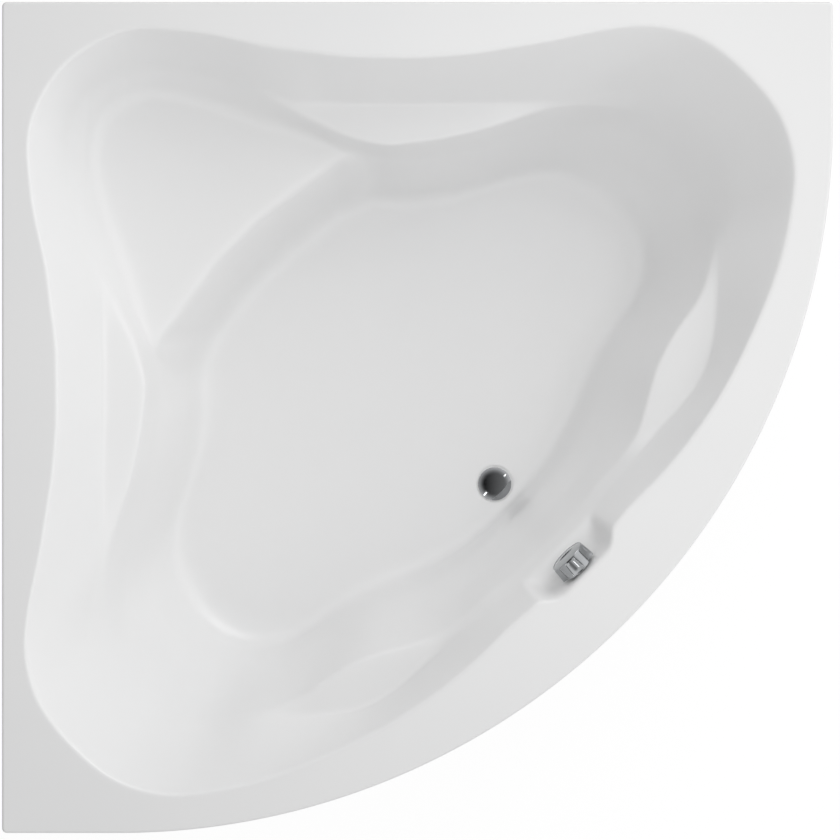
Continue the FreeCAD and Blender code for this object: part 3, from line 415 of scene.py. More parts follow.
def bent_grid(name, columns, closed_around=True, closed_down=False):
    """A grid primitive whose columns are bent to lists of points."""
    start_alone()
    wrapped = columns + columns[:1] if closed_around else columns
    if closed_down:
        wrapped = [column + column[:1] for column in wrapped]
    across = len(wrapped) - 1
    down = len(wrapped[0])
    bpy.ops.mesh.primitive_grid_add(x_subdivisions=across, y_subdivisions=down - 1, size=1.0)
    piece = bpy.context.active_object
    piece.name = name
    for index, vertex in enumerate(piece.data.vertices):
        vertex.co = wrapped[index % (across + 1)][index // (across + 1)]
    bpy.ops.object.mode_set(mode="EDIT")
    bpy.ops.mesh.select_all(action="SELECT")
    bpy.ops.mesh.remove_doubles(threshold=WELD)
    bpy.ops.object.mode_set(mode="OBJECT")
    return piece


def apply_modifier(piece, kind, **settings):
    """Add a modifier, set it up and apply it."""
    pick(piece)
    modifier = piece.modifiers.new(kind.title(), kind)
    for key, value in settings.items():
        setattr(modifier, key, value)
    bpy.ops.object.modifier_apply(modifier=modifier.name)


def subdivided(name, columns, levels=1):
    """A smooth surface that a bent grid steers."""
    piece = bent_grid(name, columns)
    apply_modifier(piece, "SUBSURF", levels=levels, render_levels=levels)
    return piece


def cut(piece, tool):
    """Cut a piece with a tool, and put the tool away."""
    apply_modifier(piece, "BOOLEAN", operation="DIFFERENCE", object=tool, solver="EXACT")
    bpy.data.objects.remove(tool)


def joined(name, pieces):
    """Join pieces into the first and name the result."""
    pick(pieces[0])
    for piece in pieces[1:]:
        piece.select_set(True)
    bpy.ops.object.join()
    pieces[0].name = name
    pieces[0].data.name = name
    return pieces[0]


def fill_flat(piece, axis, place):
    """Fill the flat area between the open edges that lie at one place along an axis."""
    pick(piece, "EDIT")
    bpy.ops.mesh.select_mode(type="EDGE")
    bpy.ops.mesh.select_all(action="DESELECT")
    bpy.ops.mesh.select_non_manifold(extend=False, use_wire=False, use_multi_face=False,
                                     use_non_contiguous=False, use_verts=False)
    mesh = bmesh.from_edit_mesh(piece.data)
    for edge in mesh.edges:
        if edge.select and any(abs(v.co[axis] - place) > LEVEL_TOLERANCE for v in edge.verts):
            edge.select_set(False)
    bmesh.update_edit_mesh(piece.data)
    bpy.ops.mesh.fill(use_beauty=True)
    bpy.ops.object.mode_set(mode="OBJECT")


def face_outwards(piece):
    pick(piece, "EDIT")
    bpy.ops.mesh.select_all(action="SELECT")
    bpy.ops.mesh.remove_doubles(threshold=WELD)
    bpy.ops.mesh.normals_make_consistent(inside=False)
    bpy.ops.object.mode_set(mode="OBJECT")


def smooth(piece, angle=35.0):
    pick(piece)
    bpy.ops.object.shade_smooth_by_angle(angle=math.radians(angle))


def plan(a, b, z):
    """Point at distance a from the left wall and b from the back wall."""
    return Vector((cad_low.x + a, cad_high.y - b, z))


def plan_arc(a, b, radius, start, steps, z):
    """A quarter turn about a point, clockwise; 0 degrees is towards the back wall."""
    turns = [math.radians(start + 90 * k / steps) for k in range(steps + 1)]
    return [plan(a + radius * math.sin(t), b - radius * math.cos(t), z) for t in turns]


def arc_rows(radius, height, size, start, end, steps=5):
    """Rows of a rounded edge about (radius, height), from one angle to another."""
    turns = [math.radians(start + (end - start) * k / steps) for k in range(steps + 1)]
    return [(radius + size * math.cos(t), height + size * math.sin(t)) for t in turns]


CORNER_STEPS = 10
FRONT_STEPS = 120
SHARP_CORNER = 0.0004  # least radius of a corner inside the lip


def front_arc(inset, z):
    return plan_arc(STUB, STUB, FRONT_RADIUS - inset, 90, FRONT_STEPS, z)


def outline(inset, z):
    """Points of the rim's outline, moved inwards by inset: the same count each time."""
    bend = max(LIP_CORNER - inset, SHARP_CORNER)
    near = inset + bend
    far = SIDE - inset - bend
    return (plan_arc(near, near, bend, -90, CORNER_STEPS, z)
            + plan_arc(far, near, bend, 0, CORNER_STEPS, z) + front_arc(inset, z)
            + plan_arc(near, far, bend, 180, CORNER_STEPS, z))


# Insets and heights of the lip, from the flat rim over the edge to its underside.
LIP_Z = RIM_Z - LIP
LIP_PROFILE = [(LIP_ROUND + LIP_MARGIN, RIM_Z)]
LIP_PROFILE += arc_rows(LIP_ROUND, RIM_Z - LIP_ROUND, LIP_ROUND, 90, 180, 6)
LIP_PROFILE += arc_rows(LIP_FOOT, LIP_Z + LIP_FOOT, LIP_FOOT, 180, 270, 3)
LIP_PROFILE += [(ACRYLIC - LIP_FOOT, LIP_Z), (ACRYLIC, LIP_Z + LIP_FOOT),
                (ACRYLIC, RIM_Z - ACRYLIC)]


def swept(line, profile):
    """Columns of a profile of (inset, height) that is swept along a line."""
    return [list(column) for column in zip(*[line(*step) for step in profile])]


def cut_round(piece, radius, centre, direction, reach):
    """Cut a round hole with a cylinder primitive."""
    start_alone()
    bpy.ops.mesh.primitive_cylinder_add(vertices=HOLE_STEPS, radius=radius, depth=reach)
    drill = bpy.context.active_object
    turn = UP.rotation_difference(direction).to_matrix().to_4x4()
    drill.data.transform(Matrix.Translation(centre) @ turn)
    cut(piece, drill)


WASTE_P = 1.245
WASTE_BORE = 0.026
WASTE_DISH = 0.034
DISH_DEEP = 0.0015
HOLE_STEPS = 96
DRILL_REACH = 0.04
OVERFLOW_BORE = 0.022
KNOB_DROP = 0.043
UP = Vector((0, 0, 1))
AXIS_OUT = ALONG * -math.cos(RECESS_TILT) + UP * math.sin(RECESS_TILT)
RECESS_P = CENTRE_P + along(RIM_EDGE, 0) + RECESS_DEPTH - math.tan(RECESS_TILT) * KNOB_DROP
OVERFLOW = corner_point(RECESS_P, WASTE_SIDE, RIM_Z - KNOB_DROP)
WASTE = corner_point(WASTE_P, WASTE_SIDE, FLOOR_Z)

basin = basin_sections()
inside_skin = subdivided("basin_inside", basin, 2)
outside_skin = subdivided("basin_outside", set_back(basin, ACRYLIC))
rim_lip = bent_grid("rim_lip", swept(outline, LIP_PROFILE))
shell = joined("bath_shell", [inside_skin, outside_skin, rim_lip])
for level in (RIM_Z, RIM_Z - ACRYLIC, FLOOR_Z, FLOOR_Z - ACRYLIC):
    fill_flat(shell, 2, level)
face_outwards(shell)
cut_round(shell, WASTE_DISH, WASTE + UP * (DRILL_REACH / 2 - DISH_DEEP), UP, DRILL_REACH)
cut_round(shell, WASTE_BORE, WASTE, UP, DRILL_REACH)
cut_round(shell, OVERFLOW_BORE, OVERFLOW, AXIS_OUT, DRILL_REACH)
smooth(shell)
acrylic = make_acrylic()


def fitted(piece, material, body, slot, *replaced):
    """Give a finished piece its material, its body and the nodes it stands for."""
    piece.data.materials.clear()
    piece.data.materials.append(material)
    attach(piece, body)
    if replaced:
        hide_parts(*replaced)


def dress(material, *names):
    """Give CAD pieces their finish."""
    for name in names:
        slots = nodes[name].data.materials
        slots.clear()
        slots.append(material)


fitted(shell, acrylic, "tub", "acrylic", "tub_shell")


# -------------------- glass fibre backing
# Chopped glass strands and polyester resin, sprayed 3 mm thick on the underside of the
# acrylic and rolled down by hand. It sets lumpy and honey-coloured, with strands showing.

SKIN = 0.008
BACKING_GAP = 0.0002
LUMPS = 0.0012
LUMP_SIZE = 0.03


def make_glassfibre():
    finish = Finish("glassfibre", IOR=1.53, Coat_Weight=0.15, Coat_Roughness=0.3)
    resin = finish.mixed(finish.noise(14.0, 4.0).ramp(0.3, 0.7),
                         (0.60, 0.56, 0.40, 1.0), (0.76, 0.74, 0.62, 1.0))
    strands = 0.0
    for turn in ((0.0, 0.4, 0.3), (0.5, 0.0, 1.4), (1.1, 0.3, 2.5), (0.2, 1.2, 0.9)):
        lines = finish.noise(1.0, 1.0, 0.4, finish.stretched((420.0, 16.0, 420.0), turn))
        strands = abs(lines - 0.5).ramp(0.0, 0.035, 0.34, 0.0) + strands
    finish.colour(finish.mixed(strands, resin, (0.88, 0.87, 0.80, 1.0)))
    finish.roughness(finish.noise(70.0, 4.0).ramp(0.3, 0.7, 0.32, 0.6))
    finish.bump(strands + finish.noise(55.0, 5.0), 0.55, 0.0012)
    return finish.material


def make_lumpy(piece):
    """Raise and sink the surface a little, as resin sets."""
    texture = bpy.data.textures.new("resin_lumps", "CLOUDS")
    texture.noise_scale = LUMP_SIZE
    texture.noise_depth = 2
    apply_modifier(piece, "DISPLACE", texture=texture, strength=LUMPS, mid_level=1.0)


back_points = set_back(basin, SKIN)
front_points = set_back(basin, ACRYLIC + BACKING_GAP)
backing_front = subdivided("backing_front", [back[:1] + front for back, front
                                             in zip(back_points, front_points)])
backing_back = subdivided("backing_back", back_points)
backing = joined("glassfibre_coat", [backing_front, backing_back])
fill_flat(backing, 2, FLOOR_Z - ACRYLIC - BACKING_GAP)
fill_flat(backing, 2, FLOOR_Z - SKIN)
face_outwards(backing)
make_lumpy(backing)
cut_round(backing, WASTE_BORE, WASTE, UP, DRILL_REACH)
cut_round(backing, OVERFLOW_BORE, OVERFLOW, AXIS_OUT, DRILL_REACH)
smooth(backing, 60.0)
fitted(backing, make_glassfibre(), "tub", "glassfibre", "glassfibre_backing")


# -------------------- base board
# An 18 mm chipboard panel, bonded under the floor with resin and screwed to the frame
# from below, so that the floor doesn't flex underfoot.

def make_chipboard():
    finish = Finish("chipboard")
    flakes = finish.cells(240.0, finish.stretched((1.0, 0.6, 2.2), (0, 0, 0.5)), "Color")
    fine = finish.cells(700.0, None, "Color")
    wood = finish.mixed(flakes, (0.30, 0.19, 0.10, 1.0), (0.62, 0.45, 0.26, 1.0))
    dusty = finish.mixed(fine.ramp(0.2, 0.9, 0.0, 0.6), wood, (0.55, 0.42, 0.27, 1.0))
    stain = finish.noise(6.0, 4.0).ramp(0.5, 0.75, 0.0, 0.5)
    finish.colour(finish.mixed(stain, dusty, (0.40, 0.30, 0.17, 1.0)))
    finish.roughness(finish.noise(40.0, 3.0).ramp(0.3, 0.7, 0.55, 0.8))
    finish.bump(fine + flakes * 0.6, 0.35, 0.0006)
    return finish.material


dress(make_chipboard(), "base_board")


# -------------------- steel frame
# Square tube, 30 by 2 mm, cut and welded before it is powder coated black: two long
# rails, two cross rails, and a post under the rim on each long rail.

def make_powder_coat():
    finish = Finish("black_powder_coat", IOR=1.5)
    peel = finish.noise(520.0, 1.5)
    worn = finish.noise(45.0, 6.0, 0.7).ramp(0.66, 0.72, 0.0, 0.5)
    dust = finish.noise(7.0, 5.0).ramp(0.35, 0.8, 0.0, 0.3)
    black = finish.mixed(dust, (0.022, 0.023, 0.025, 1.0), (0.12, 0.115, 0.105, 1.0))
    finish.colour(finish.mixed(worn, black, (0.05, 0.05, 0.052, 1.0)))
    finish.roughness(peel.ramp(0.3, 0.7, 0.34, 0.5))
    finish.bump(peel, 0.25, 0.0005)
    return finish.material


powder_coat = make_powder_coat()
dress(powder_coat, "frame_rail_left", "frame_rail_right", "frame_cross_rear",
      "frame_cross_middle", "rim_post_left", "rim_post_right")

TUBE = 0.030
RAIL_Q = 0.300
RAIL_Z = 0.094
BOARD_Z = 0.124
CROSS_RAILS = (0.620, 0.900)
POST_P = 1.468
BEAD_RADIUS = 0.0026
BEAD_STEP = 0.0011
BEAD_LUMP = 0.16  # each ripple swells the bead by this share
BEAD_RIPPLE = 0.0032  # length of one ripple


def tube_around(name, line, radius_at, steps):
    """A closed tube along close points; its radius is a function of the length so far."""
    heading = (line[1] - line[0]).normalized()
    side = heading.orthogonal().normalized()
    rings = [[line[0]] * steps]
    length = 0.0
    for k, centre in enumerate(line):
        ahead = line[min(k + 1, len(line) - 1)] - line[max(k - 1, 0)]
        ahead.normalize()
        side = (side - ahead * side.dot(ahead)).normalized()
        other = ahead.cross(side)
        length += (centre - line[k - 1]).length if k else 0.0
        radius = radius_at(length)
        turns = [2 * math.pi * n / steps for n in range(steps)]
        rings.append([centre + (side * math.cos(t) + other * math.sin(t)) * radius for t in turns])
    rings.append([line[-1]] * steps)
    piece = bent_grid(name, [list(column) for column in zip(*rings)])
    face_outwards(piece)
    smooth(piece, 70.0)
    return piece


def weld_bead(start, end):
    """A rippled fillet of weld along a straight joint."""
    count = round((end - start).length / BEAD_STEP)
    line = [start.lerp(end, k / count) for k in range(count + 1)]

    def radius_at(length):
        ends = min(length, (end - start).length - length) / BEAD_RADIUS
        ripple = 1 + BEAD_LUMP * math.sin(2 * math.pi * length / BEAD_RIPPLE)
        return BEAD_RADIUS * ripple * math.sqrt(min(max(ends, 0.05), 1.0))

    return tube_around("bead", line, radius_at, 10)


joints = []
half = TUBE / 2
for side in (-1, 1):
    q = side * RAIL_Q
    seam = side * (RAIL_Q - half)
    for p in CROSS_RAILS:
        joints += [((p + edge, seam, RAIL_Z + 0.001), (p + edge, seam, BOARD_Z - 0.003))
                   for edge in (-half, half)]
        joints.append(((p - half, seam, RAIL_Z), (p + half, seam, RAIL_Z)))
    for edge in (-half, half):
        joints.append(((POST_P + edge, q - half, BOARD_Z), (POST_P + edge, q + half, BOARD_Z)))
        joints.append(((POST_P - half, q + edge, BOARD_Z), (POST_P + half, q + edge, BOARD_Z)))
beads = [weld_bead(corner_point(*start), corner_point(*end)) for start, end in joints]
fitted(joined("weld_beads", beads), powder_coat, "tub", "steel_frame")


# -------------------- caps and screws
# Black plastic caps plug the posts and carry the rim. Zinc-plated pan head screws with
# a cross recess go up through the rails into the board.

SPARK_GRAIN = 1400.0  # grains in a metre


def make_plastic(name, tint, rough):
    """Moulded plastic: fine spark-eroded grain, slight clouding, scuffs that dull it."""
    finish = Finish(name, IOR=1.5)
    low = tuple(channel * 0.86 for channel in tint) + (1.0,)
    scuff = finish.noise(1.0, 4.0, 0.6, finish.stretched((90.0, 260.0, 60.0), (0.3, 0.2, 0.8)))
    cloud = finish.noise(22.0, 4.0).ramp(0.3, 0.7)
    finish.colour(finish.mixed(cloud, tint + (1.0,), low))
    finish.roughness(scuff.ramp(0.45, 0.7, rough * 0.85, rough * 1.3))
    finish.bump(finish.noise(SPARK_GRAIN, 2.0) + scuff * 0.3, 0.10, 0.0004)
    return finish.material


def make_zinc():
    finish = Finish("zinc_plate", Metallic=1.0)
    tone = finish.mixed(finish.noise(35.0, 3.0).ramp(0.35, 0.65),
                        (0.56, 0.58, 0.61, 1.0), (0.66, 0.65, 0.60, 1.0))
    dull = finish.noise(90.0, 5.0, 0.6).ramp(0.55, 0.75, 0.0, 0.6)
    finish.colour(finish.mixed(dull, tone, (0.48, 0.48, 0.47, 1.0)))
    brushed = finish.noise(1.0, 4.0, 0.6, finish.stretched((900.0, 900.0, 60.0)))
    finish.roughness(brushed.ramp(0.3, 0.7, 0.29, 0.44))
    finish.bump(brushed, 0.06, 0.0003)
    return finish.material


def turned(name, rows, centre, axis=UP, start=None, steps=48, closed_down=False, edge=35.0):
    """A round piece from (radius, height) rows; a radius may be a function of the angle."""
    side = start or axis.orthogonal().normalized()
    other = axis.cross(side)
    columns = []
    for k in range(steps):
        angle = 2 * math.pi * k / steps
        out = side * math.cos(angle) + other * math.sin(angle)
        columns.append([centre + axis * height
                        + out * (radius(angle) if callable(radius) else radius)
                        for radius, height in rows])
    piece = bent_grid(name, columns, closed_down=closed_down)
    face_outwards(piece)
    smooth(piece, edge)
    return piece


zinc = make_zinc()
black_plastic = make_plastic("black_plastic", (0.03, 0.03, 0.032), 0.45)
dress(black_plastic, "post_caps")

SCREW_PLACES = ((0.900, -0.200), (0.900, 0.200), (0.900, -0.080), (0.900, 0.080),
                (1.040, -RAIL_Q), (1.040, RAIL_Q), (1.120, -RAIL_Q), (1.120, RAIL_Q))
SCREW_RADIUS = 0.0025
SCREW_TIP_Z = 0.136
HEAD_RADIUS = 0.005
HEAD_HIGH = 0.003
HEAD_ROUND = 0.0012
POINT_LONG = 0.004
CROSS_LONG = 0.0052
CROSS_WIDE = 0.0011
CROSS_DEEP = 0.0022

tip = SCREW_TIP_Z - RAIL_Z
head_rows = [(0.0, -HEAD_HIGH)]
head_rows += arc_rows(HEAD_RADIUS - HEAD_ROUND, -HEAD_HIGH + HEAD_ROUND, HEAD_ROUND, -90, 0)
head_rows += [(HEAD_RADIUS, 0.0), (SCREW_RADIUS, 0.0), (SCREW_RADIUS, tip - POINT_LONG),
              (0.0, tip)]
first_screw = turned("pan_screw", head_rows, Vector((0, 0, 0)), steps=24)
for turn in (45, 135):
    start_alone()
    bpy.ops.mesh.primitive_cube_add(size=1.0)
    slot = bpy.context.active_object
    shape = Matrix.Diagonal((CROSS_LONG, CROSS_WIDE, 2 * CROSS_DEEP, 1.0))
    slot.data.transform(Matrix.Translation((0, 0, -HEAD_HIGH)) @
                        Matrix.Rotation(math.radians(turn), 4, "Z") @ shape)
    cut(first_screw, slot)


def copies(piece, places):
    """Copies of a piece, each with its own mesh, moved to the places."""
    made = []
    for place in places:
        mesh = piece.data.copy()
        mesh.transform(Matrix.Translation(place))
        made.append(added(piece.name, mesh))
    bpy.data.objects.remove(piece)
    return made


screws = copies(first_screw, [corner_point(p, q, RAIL_Z) for p, q in SCREW_PLACES])
fitted(joined("pan_head_screws", screws), zinc, "tub", "zinc_steel", "board_screws")


# -------------------- levelling feet
# Five M12 threaded rods of plated steel in moulded pads. Each screws up through a nut
# welded under a rail, and a second nut locks it once the bath is level.

ROD_RADIUS = 0.006
THREAD_PITCH = 0.00175
THREAD_DEEP = 0.0008
THREAD_ROWS = 4  # rows of points in one turn of thread
NUT_ACROSS = 0.019
NUT_THICK = 0.010
NUT_BORE = 0.00605
PAD_RADIUS = 0.027
PAD_HEIGHT = 0.014
PAD_NECK = 0.0096
PAD_SOLE = 0.003
PAD_RIBS = 12


def threaded_rod(name, centre, bottom, top):
    """A rod with a real helical thread and chamfered ends."""
    count = round((top - bottom) / THREAD_PITCH * THREAD_ROWS)
    rows = [(0.0, bottom), (ROD_RADIUS - THREAD_DEEP, bottom)]
    for k in range(1, count):
        z = bottom + (top - bottom) * k / count

        def radius(angle, z=z):
            phase = (z / THREAD_PITCH - angle / (2 * math.pi)) % 1.0
            return ROD_RADIUS - THREAD_DEEP * abs(2 * phase - 1)

        rows.append((radius, z))
    rows += [(ROD_RADIUS - THREAD_DEEP, top), (0.0, top)]
    return turned(name, rows, centre, steps=28, edge=25.0)


def hex_nut(name, centre, bottom):
    """A hexagon nut, chamfered at both ends, with a plain bore."""
    flat = NUT_ACROSS / 2

    def hexagon(limit):
        return lambda angle: min(
            flat / math.cos((angle + math.pi / 6) % (math.pi / 3) - math.pi / 6), flat * limit)

    chamfer, shoulder, whole = hexagon(1.02), hexagon(1.09), hexagon(2.0)
    rows = [(NUT_BORE, 0.0), (chamfer, 0.0), (shoulder, 0.0007), (whole, 0.0014),
            (whole, NUT_THICK - 0.0014), (shoulder, NUT_THICK - 0.0007),
            (chamfer, NUT_THICK), (NUT_BORE, NUT_THICK)]
    return turned(name, rows, centre + UP * bottom, start=ALONG, steps=72, closed_down=True,
                  edge=20.0)


def foot_pad(name, centre):
    """A ribbed cone on a flat sole, around the end of the rod."""
    def rib(low, high):
        return lambda angle: low + (high - low) * (0.5 + 0.5 * math.cos(PAD_RIBS * angle)) ** 3

    sole = PAD_RADIUS - 0.001
    rows = [(0.0, 0.0), (sole - 0.0008, 0.0), (sole, 0.0008), (PAD_RADIUS, 0.0018),
            (PAD_RADIUS, PAD_SOLE), (PAD_RADIUS - 0.0012, PAD_SOLE + 0.0012),
            (rib(0.0195, 0.024), PAD_SOLE + 0.0022), (rib(0.0145, 0.0185), 0.0085),
            (rib(0.0112, 0.0128), 0.0118), (0.0105, 0.0128), (PAD_NECK, PAD_HEIGHT - 0.0005),
            (PAD_NECK - 0.0008, PAD_HEIGHT), (0.0, PAD_HEIGHT)]
    return turned(name, rows, centre, steps=96, edge=40.0)


rail_nuts = []
for number in range(1, 6):
    foot = f"foot_{number}"
    low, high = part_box(f"foot_rod_{number}")
    centre = (Vector(low) + Vector(high)) / 2
    centre.z = 0.0
    fitted(threaded_rod(f"threaded_rod_{number}", centre, low[2], high[2]), zinc, foot,
           "zinc_steel", f"foot_rod_{number}")
    fitted(foot_pad(f"ribbed_pad_{number}", centre), black_plastic, foot, "foot_plastic",
           f"foot_pad_{number}")
    fitted(hex_nut(f"lock_nut_{number}", centre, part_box(f"foot_lock_nut_{number}")[0][2]), zinc,
           foot, "zinc_steel", f"foot_lock_nut_{number}")
    rail_nuts.append(hex_nut("rail_nut", centre, RAIL_Z - NUT_THICK))
fitted(joined("welded_nuts", rail_nuts), zinc, "tub", "zinc_steel", "rail_nuts")


# -------------------- battens and brackets
# Planed softwood battens stiffen the rim along both walls. Plated steel brackets hook
# under the lip and hold the bath to the walls.

def make_timber(name, grain_axis):
    """Planed pine: growth rings about a line along the batten, fibres and a few knots."""
    finish = Finish(name)
    rings = finish.node("ShaderNodeTexWave", {"wave_type": "RINGS", "rings_direction": grain_axis},
                        {"Scale": 26.0, "Distortion": 1.2, "Detail": 2.0, "Detail Scale": 1.5,
                         "Vector": finish.place}, 1)
    long_scale = [900.0, 900.0, 900.0]
    long_scale["XYZ".index(grain_axis)] = 14.0
    fibres = finish.noise(1.0, 3.0, 0.5, finish.stretched(long_scale))
    late = finish.mixed(rings.ramp(0.55, 0.95), (0.62, 0.45, 0.27, 1.0), (0.40, 0.24, 0.11, 1.0))
    knots = finish.cells(4.2).ramp(0.02, 0.075, 0.9, 0.0)
    wood = finish.mixed(fibres.ramp(0.35, 0.75, 0.0, 0.35), late, (0.45, 0.30, 0.16, 1.0))
    finish.colour(finish.mixed(knots, wood, (0.16, 0.08, 0.035, 1.0)))
    finish.roughness(fibres.ramp(0.3, 0.7, 0.55, 0.75))
    finish.bump(fibres + rings * 0.5, 0.25, 0.0004)
    return finish.material


dress(make_timber("pine_along_y", "Y"), "rim_batten_left")
dress(make_timber("pine_along_x", "X"), "rim_batten_back")
dress(zinc, "wall_bracket_left_1", "wall_bracket_left_2", "wall_bracket_back_1",
      "wall_bracket_back_2")


# -------------------- front panel
# One bent acrylic sheet with a set-back plinth. Spring clips pinch its top edge against
# the lip, and two flat stays hold the plinth.

PANEL_INSET = 0.007
PANEL_THICK = 0.004
PANEL_TOP = 0.583
PANEL_BOTTOM = 0.004
PLINTH_TOP = 0.092
PLINTH_STEP = 0.013
PANEL_END = 0.012
PANEL_EDGE = 0.0016  # radius of its edges
FOLD_STEPS = 4


def rounded_corners(corners, radius, steps):
    """A closed outline with each corner replaced by a short curve."""
    points = []
    for k, at in enumerate(corners):
        enter = towards(at, corners[k - 1], radius)
        leave = towards(at, corners[(k + 1) % len(corners)], radius)
        for n in range(steps + 1):
            t = n / steps
            points.append(tuple(a * (1 - t) ** 2 + 2 * b * t * (1 - t) + c * t ** 2
                                for a, b, c in zip(enter, at, leave)))
    return points


def front_line(inset, z):
    """Points from the end at the back wall, round the front, to the end at the left wall."""
    far = SIDE - inset
    return [plan(far, PANEL_END, z), *front_arc(inset, z), plan(PANEL_END, far, z)]


inner = PANEL_INSET + PANEL_THICK
plinth = PANEL_INSET + PLINTH_STEP
shelf = PLINTH_TOP - PANEL_THICK
panel_outline = rounded_corners(
    [(PANEL_INSET, PANEL_TOP), (PANEL_INSET, shelf), (plinth, shelf), (plinth, PANEL_BOTTOM),
     (plinth + PANEL_THICK, PANEL_BOTTOM), (plinth + PANEL_THICK, PLINTH_TOP), (inner, PLINTH_TOP),
     (inner, PANEL_TOP)], PANEL_EDGE, FOLD_STEPS)
panel = bent_grid("curved_front_panel", swept(front_line, panel_outline),
                  closed_around=False, closed_down=True)
fill_flat(panel, 1, cad_high.y - PANEL_END)
fill_flat(panel, 0, cad_low.x + PANEL_END)
face_outwards(panel)
smooth(panel)
fitted(panel, acrylic, "tub", "acrylic", "front_panel")
dress(zinc, "panel_clips", "panel_stays")


# -------------------- waste and trap
# A chromed flange screws down through the floor into a white moulded body. The body has
# a cup that unscrews, ribbed nuts that are tightened by hand, and a 40 mm outlet.

def make_chrome():
    finish = Finish("polished_chrome", Metallic=1.0)
    film = finish.noise(16.0, 5.0).ramp(0.35, 0.75)
    spots = finish.cells(260.0).ramp(0.03, 0.09, 0.5, 0.0)
    wiped = finish.noise(1.0, 4.0, 0.6, finish.stretched((40.0, 300.0, 120.0), (0, 0, 0.9)))
    bright = finish.mixed(film, (0.46, 0.47, 0.485, 1.0), (0.38, 0.39, 0.40, 1.0))
    finish.colour(finish.mixed(spots, bright, (0.36, 0.36, 0.36, 1.0)))
    finish.roughness(wiped.ramp(0.35, 0.7, 0.04, 0.11))
    finish.bump(finish.noise(30.0, 2.0), 0.04, 0.0006)
    return finish.material


def make_rubber():
    finish = Finish("black_rubber", IOR=1.52)
    bloom = finish.noise(30.0, 5.0).ramp(0.45, 0.75, 0.0, 0.5)
    finish.colour(finish.mixed(bloom, (0.016, 0.016, 0.017, 1.0), (0.055, 0.053, 0.05, 1.0)))
    finish.roughness(finish.noise(120.0, 3.0).ramp(0.3, 0.7, 0.6, 0.85))
    finish.bump(finish.noise(900.0, 2.0), 0.15, 0.0003)
    return finish.material


chrome = make_chrome()
rubber = make_rubber()
white_plastic = make_plastic("white_polypropylene", (0.78, 0.78, 0.765), 0.36)
dress(chrome, "waste_flange", "overflow_face")
dress(rubber, "waste_seal", "plug_seal", "overflow_seal")
dress(white_plastic, "waste_body", "outlet_pipe", "overflow_body")

CUP_RADIUS = 0.036
CUP_WALL = 0.003
CUP_Z = 0.024
CUP_TOP = 0.0657
CUP_RIBS = 8
CUP_RIB_DEEP = 0.0012
TRAP_NUT = (0.055, 0.069, 0.041, 0.0361)  # low, high, outer radius, bore
OUTLET_NUT = (0.054, 0.078, 0.028, 0.0221)  # distances along the outlet's axis
OUTLET_Z = 0.092
GRIP_RIBS = 16
GRIP_DEEP = 0.0022


def grip_nut(name, size, centre, axis):
    """A moulded nut with ribs around it and a smooth collar at each end."""
    low, high, outer, bore = size
    valley = outer - GRIP_DEEP

    def ribs(angle):
        return valley + GRIP_DEEP * max(0.0, math.cos(GRIP_RIBS * angle)) ** 0.6

    rows = [(bore, low), (valley - 0.001, low), (valley, low + 0.001), (valley, low + 0.0022),
            (ribs, low + 0.003), (ribs, high - 0.003), (valley, high - 0.0022),
            (valley, high - 0.001), (valley - 0.001, high), (bore, high)]
    return turned(name, rows, centre, axis, steps=192, closed_down=True, edge=40.0)


def trap_cup():
    """The cup that holds the water seal, with finger ribs and a stepped foot."""
    def finger(angle):
        return CUP_RADIUS - CUP_RIB_DEEP * (1 - max(0.0, math.cos(CUP_RIBS * angle)) ** 2)

    inside = CUP_RADIUS - CUP_WALL
    rows = [(0.0, CUP_Z), (0.020, CUP_Z), (0.0208, CUP_Z + 0.0008), (0.0215, CUP_Z + 0.003)]
    rows += arc_rows(CUP_RADIUS - 0.007, CUP_Z + 0.010, 0.0065, -80, -10)
    rows += [(finger, CUP_Z + 0.012), (finger, CUP_Z + 0.026), (CUP_RADIUS, CUP_Z + 0.028),
             (CUP_RADIUS, CUP_TOP), (inside, CUP_TOP), (inside, CUP_Z + 0.012),
             (inside - 0.004, CUP_Z + 0.007), (0.0, CUP_Z + 0.006)]
    return turned("ribbed_trap_cup", rows, Vector((WASTE.x, WASTE.y, 0.0)), steps=128)


waste_axis = Vector((WASTE.x, WASTE.y, 0.0))
fitted(trap_cup(), white_plastic, "tub", "drain_plastic", "trap_cup")
fitted(grip_nut("ribbed_trap_nut", TRAP_NUT, waste_axis, UP), white_plastic, "tub",
       "drain_plastic", "trap_nut")
fitted(grip_nut("ribbed_outlet_nut", OUTLET_NUT, waste_axis + UP * OUTLET_Z, -ACROSS),
       white_plastic, "tub", "drain_plastic", "outlet_nut")


# -------------------- plug
# A spun and polished brass cap, chromed, with a rubber seal under it on a plated stem.
# The lift pin under the stem pushes it up when the overflow knob is turned.

CAP_RADIUS = 0.030
CAP_EDGE = 0.0014
CAP_CROWN = 0.005
CAP_LIFT = 0.0008  # underside of the cap above the floor
HUB_RADIUS = 0.012
HUB_DEEP = 0.005
DOME_ROWS = 24
DOME_INSIDE = 0.9999  # the dome's foot is a hair inside the cap's edge

